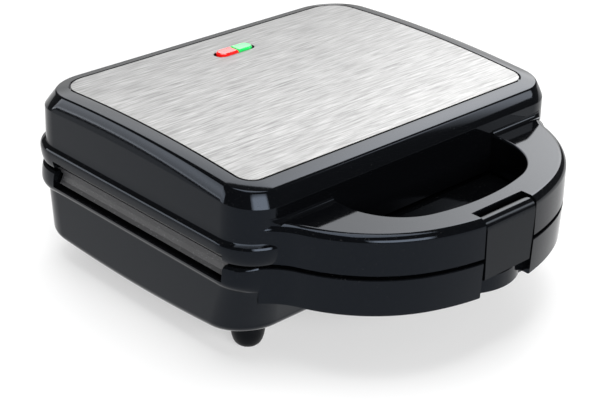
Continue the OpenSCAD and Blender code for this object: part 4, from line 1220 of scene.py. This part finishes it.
def softened(name, node, width, steps):
    """A copy of a CAD node with its sharp edges rounded."""
    piece = bpy.data.objects.new(name, NODES[node].data.copy())
    bpy.context.scene.collection.objects.link(piece)
    merge = piece.modifiers.new("merge", "WELD")
    merge.merge_threshold = WELD_GAP * MM
    flat = piece.modifiers.new("flat", "DECIMATE")
    flat.decimate_type = "DISSOLVE"
    flat.angle_limit = math.radians(FLAT_DEGREES)
    bevel = piece.modifiers.new("bevel", "BEVEL")
    bevel.width = width * MM
    bevel.segments = steps
    bevel.limit_method = "ANGLE"
    bevel.angle_limit = math.radians(SHARP_DEGREES)
    bevel.use_clamp_overlap = True
    apply_modifiers(piece)
    return shade(piece, 25)


trim_sheet = softened("trim_sheet", "top_trim", 0.3, 1)
finish_piece(trim_sheet, METAL_TRIM, "lid", "brushed_trim", "top_trim")
latch = softened("latch_moulding", "latch_clip", 0.6, 3)
finish_piece(latch, SATIN, "latch", "latch_plastic", "latch_clip")

# %% Mould the two lenses
LENS_L, LENS_W, LENS_GAP, LENS_Y = 12.6, 8.6, 0.25, 53.5
LENS_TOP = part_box("lamp_lens_red")[1].z / MM
LENS_STEPS = 24
LENS_LEVELS = (0, -6), (0, -1.1), (0.35, -0.45), (0.8, -0.08), (1.1, 0)


def lens_ring(side, inset, z):
    """One level of a lens: a straight end in the middle of the slot and a round outer end."""
    r = LENS_W / 2 - inset
    half = [(LENS_GAP / 2 + inset * 0.6, -r)]
    half += arc(LENS_L - LENS_W / 2, 0, r, -90, -3, LENS_STEPS)
    points = half + [(x, -y) for x, y in reversed(half)]
    if side < 0:
        points = [(-x, y) for x, y in reversed(points)]
    return [(x, LENS_Y + y, z) for x, y in points]


def lens(name, side):
    """A lens that stands proud of the trim, with a narrow bevel round its flat top."""
    return shade(loft(name, [lens_ring(side, inset, LENS_TOP + z) for inset, z in LENS_LEVELS]), 20)


finish_piece(lens("lens_red_cap", -1), RED, "lid", "lens_red", "lamp_lens_red")
finish_piece(lens("lens_green_cap", 1), GREEN, "lid", "lens_green", "lamp_lens_green")

# %% [markdown]
# ## Feet
# Each foot is a soft rubber cup pressed into the bottom: wide where it meets the housing and
# round where it meets the table. A lathe profile gives exactly that.

# %% Turn the four feet
FEET_AT = (96.5, -68.5), (-96.5, -68.5), (88.0, 62.0), (-88.0, 62.0)
FOOT_TOP_R = 9.6
FOOT_ROUND = (0.01, 0), (3.2, 0), (4.6, 0.25), (6.0, 0.95), (7.2, 2.1), (8.1, 3.8), (8.8, 6.2), (9.3, 9.0)


def foot(x, y):
    """One foot, from the table up into the crowned bottom of the housing."""
    top = BOTTOM_Z - crown(y) + 0.6
    return turned("foot", [*FOOT_ROUND, (FOOT_TOP_R, top - 1.5), (FOOT_TOP_R, top)], x, y)


def build_feet():
    """All four feet as one piece, since they share one node."""
    first, *others = [foot(x, y) for x, y in FEET_AT]
    first.name = "rubber_feet"
    return shade(combine(first, others, "UNION"), 40)


finish_piece(build_feet(), RUBBER, "base", "rubber_black", "feet")

# %% [markdown]
# ## Finishes for the CAD pieces that stay
# Round pins, screws, heaters and sheets already have their true shape in CAD. They only need
# their finish, so we put a material in each object's slot and leave the mesh alone.

# %% Dress the CAD pieces
KEPT = {
    "cord_gland": RUBBER, "lower_plate": COATING, "upper_plate": COATING,
    "lower_heater": SHEATH, "upper_heater": SHEATH, "lower_reflector": REFLECTIVE,
    "upper_reflector": REFLECTIVE, "thermostat": CERAMIC, "terminal_block": CERAMIC,
    "lamp_holder": CERAMIC, "thermal_fuse": SLEEVE, "neon_lamps": LAMP, "hinge_pins": PLATED,
    "latch_pin": PLATED,
}
for level_name in ("lower", "upper"):
    for part in ("heater_clamps", "clamp_screws", "plate_screws"):
        KEPT[f"{level_name}_{part}"] = PLATED
for name, material in KEPT.items():
    node = NODES[name]
    node.data.materials.clear()
    node.data.materials.append(material)
print("dressed", len(KEPT), "CAD pieces")

# %% [markdown]
# ## Floor
# A pale sheet that runs flat to the horizon. What the camera sees is half the lit sheet, which
# keeps the shadow, and half an even white. Beyond the shadow it is all white, and so is its
# mirror image in plastic and metal. The light that bounces off it stays real.


# %% Lay the floor
SHADOW_REACH = 0.5
FLOOR_REACH = 30.0


def pale_floor():
    """A white floor that keeps the object's shadow and shows as white to the camera."""
    material, tree, shader = new_finish("floor_white", (0.9, 0.9, 0.9), 0.6)
    shader.inputs["Specular IOR Level"].default_value = 0.1
    path = add_node(tree, "ShaderNodeLightPath")
    place = add_node(tree, "ShaderNodeNewGeometry").outputs["Position"]
    reach = add_node(tree, "ShaderNodeVectorMath", {"operation": "LENGTH"}, i0=place)
    whiter = mapped(tree, reach.outputs["Value"], 0.5, 1.0, SHADOW_REACH, 2 * SHADOW_REACH)
    share = product(tree, whiter, path.outputs["Is Camera Ray"])
    for way in ("Is Glossy Ray", "Is Transmission Ray"):
        share = add_node(
            tree, "ShaderNodeMath", {"operation": "MAXIMUM"}, i0=share, i1=path.outputs[way]
        ).outputs[0]
    white = add_node(tree, "ShaderNodeEmission", Strength=1.0)
    mix = add_node(tree, "ShaderNodeMixShader", i0=share, i1=shader.outputs[0], i2=white.outputs[0])
    tree.links.new(mix.outputs[0], tree.nodes["Material Output"].inputs["Surface"])
    r = FLOOR_REACH
    mesh = bpy.data.meshes.new("floor")
    mesh.from_pydata([(-r, -r, 0), (r, -r, 0), (r, r, 0), (-r, r, 0)], [], [(0, 1, 2, 3)])
    floor = bpy.data.objects.new("floor", mesh)
    bpy.context.scene.collection.objects.link(floor)
    mesh.materials.append(material)
    return floor


pale_floor()
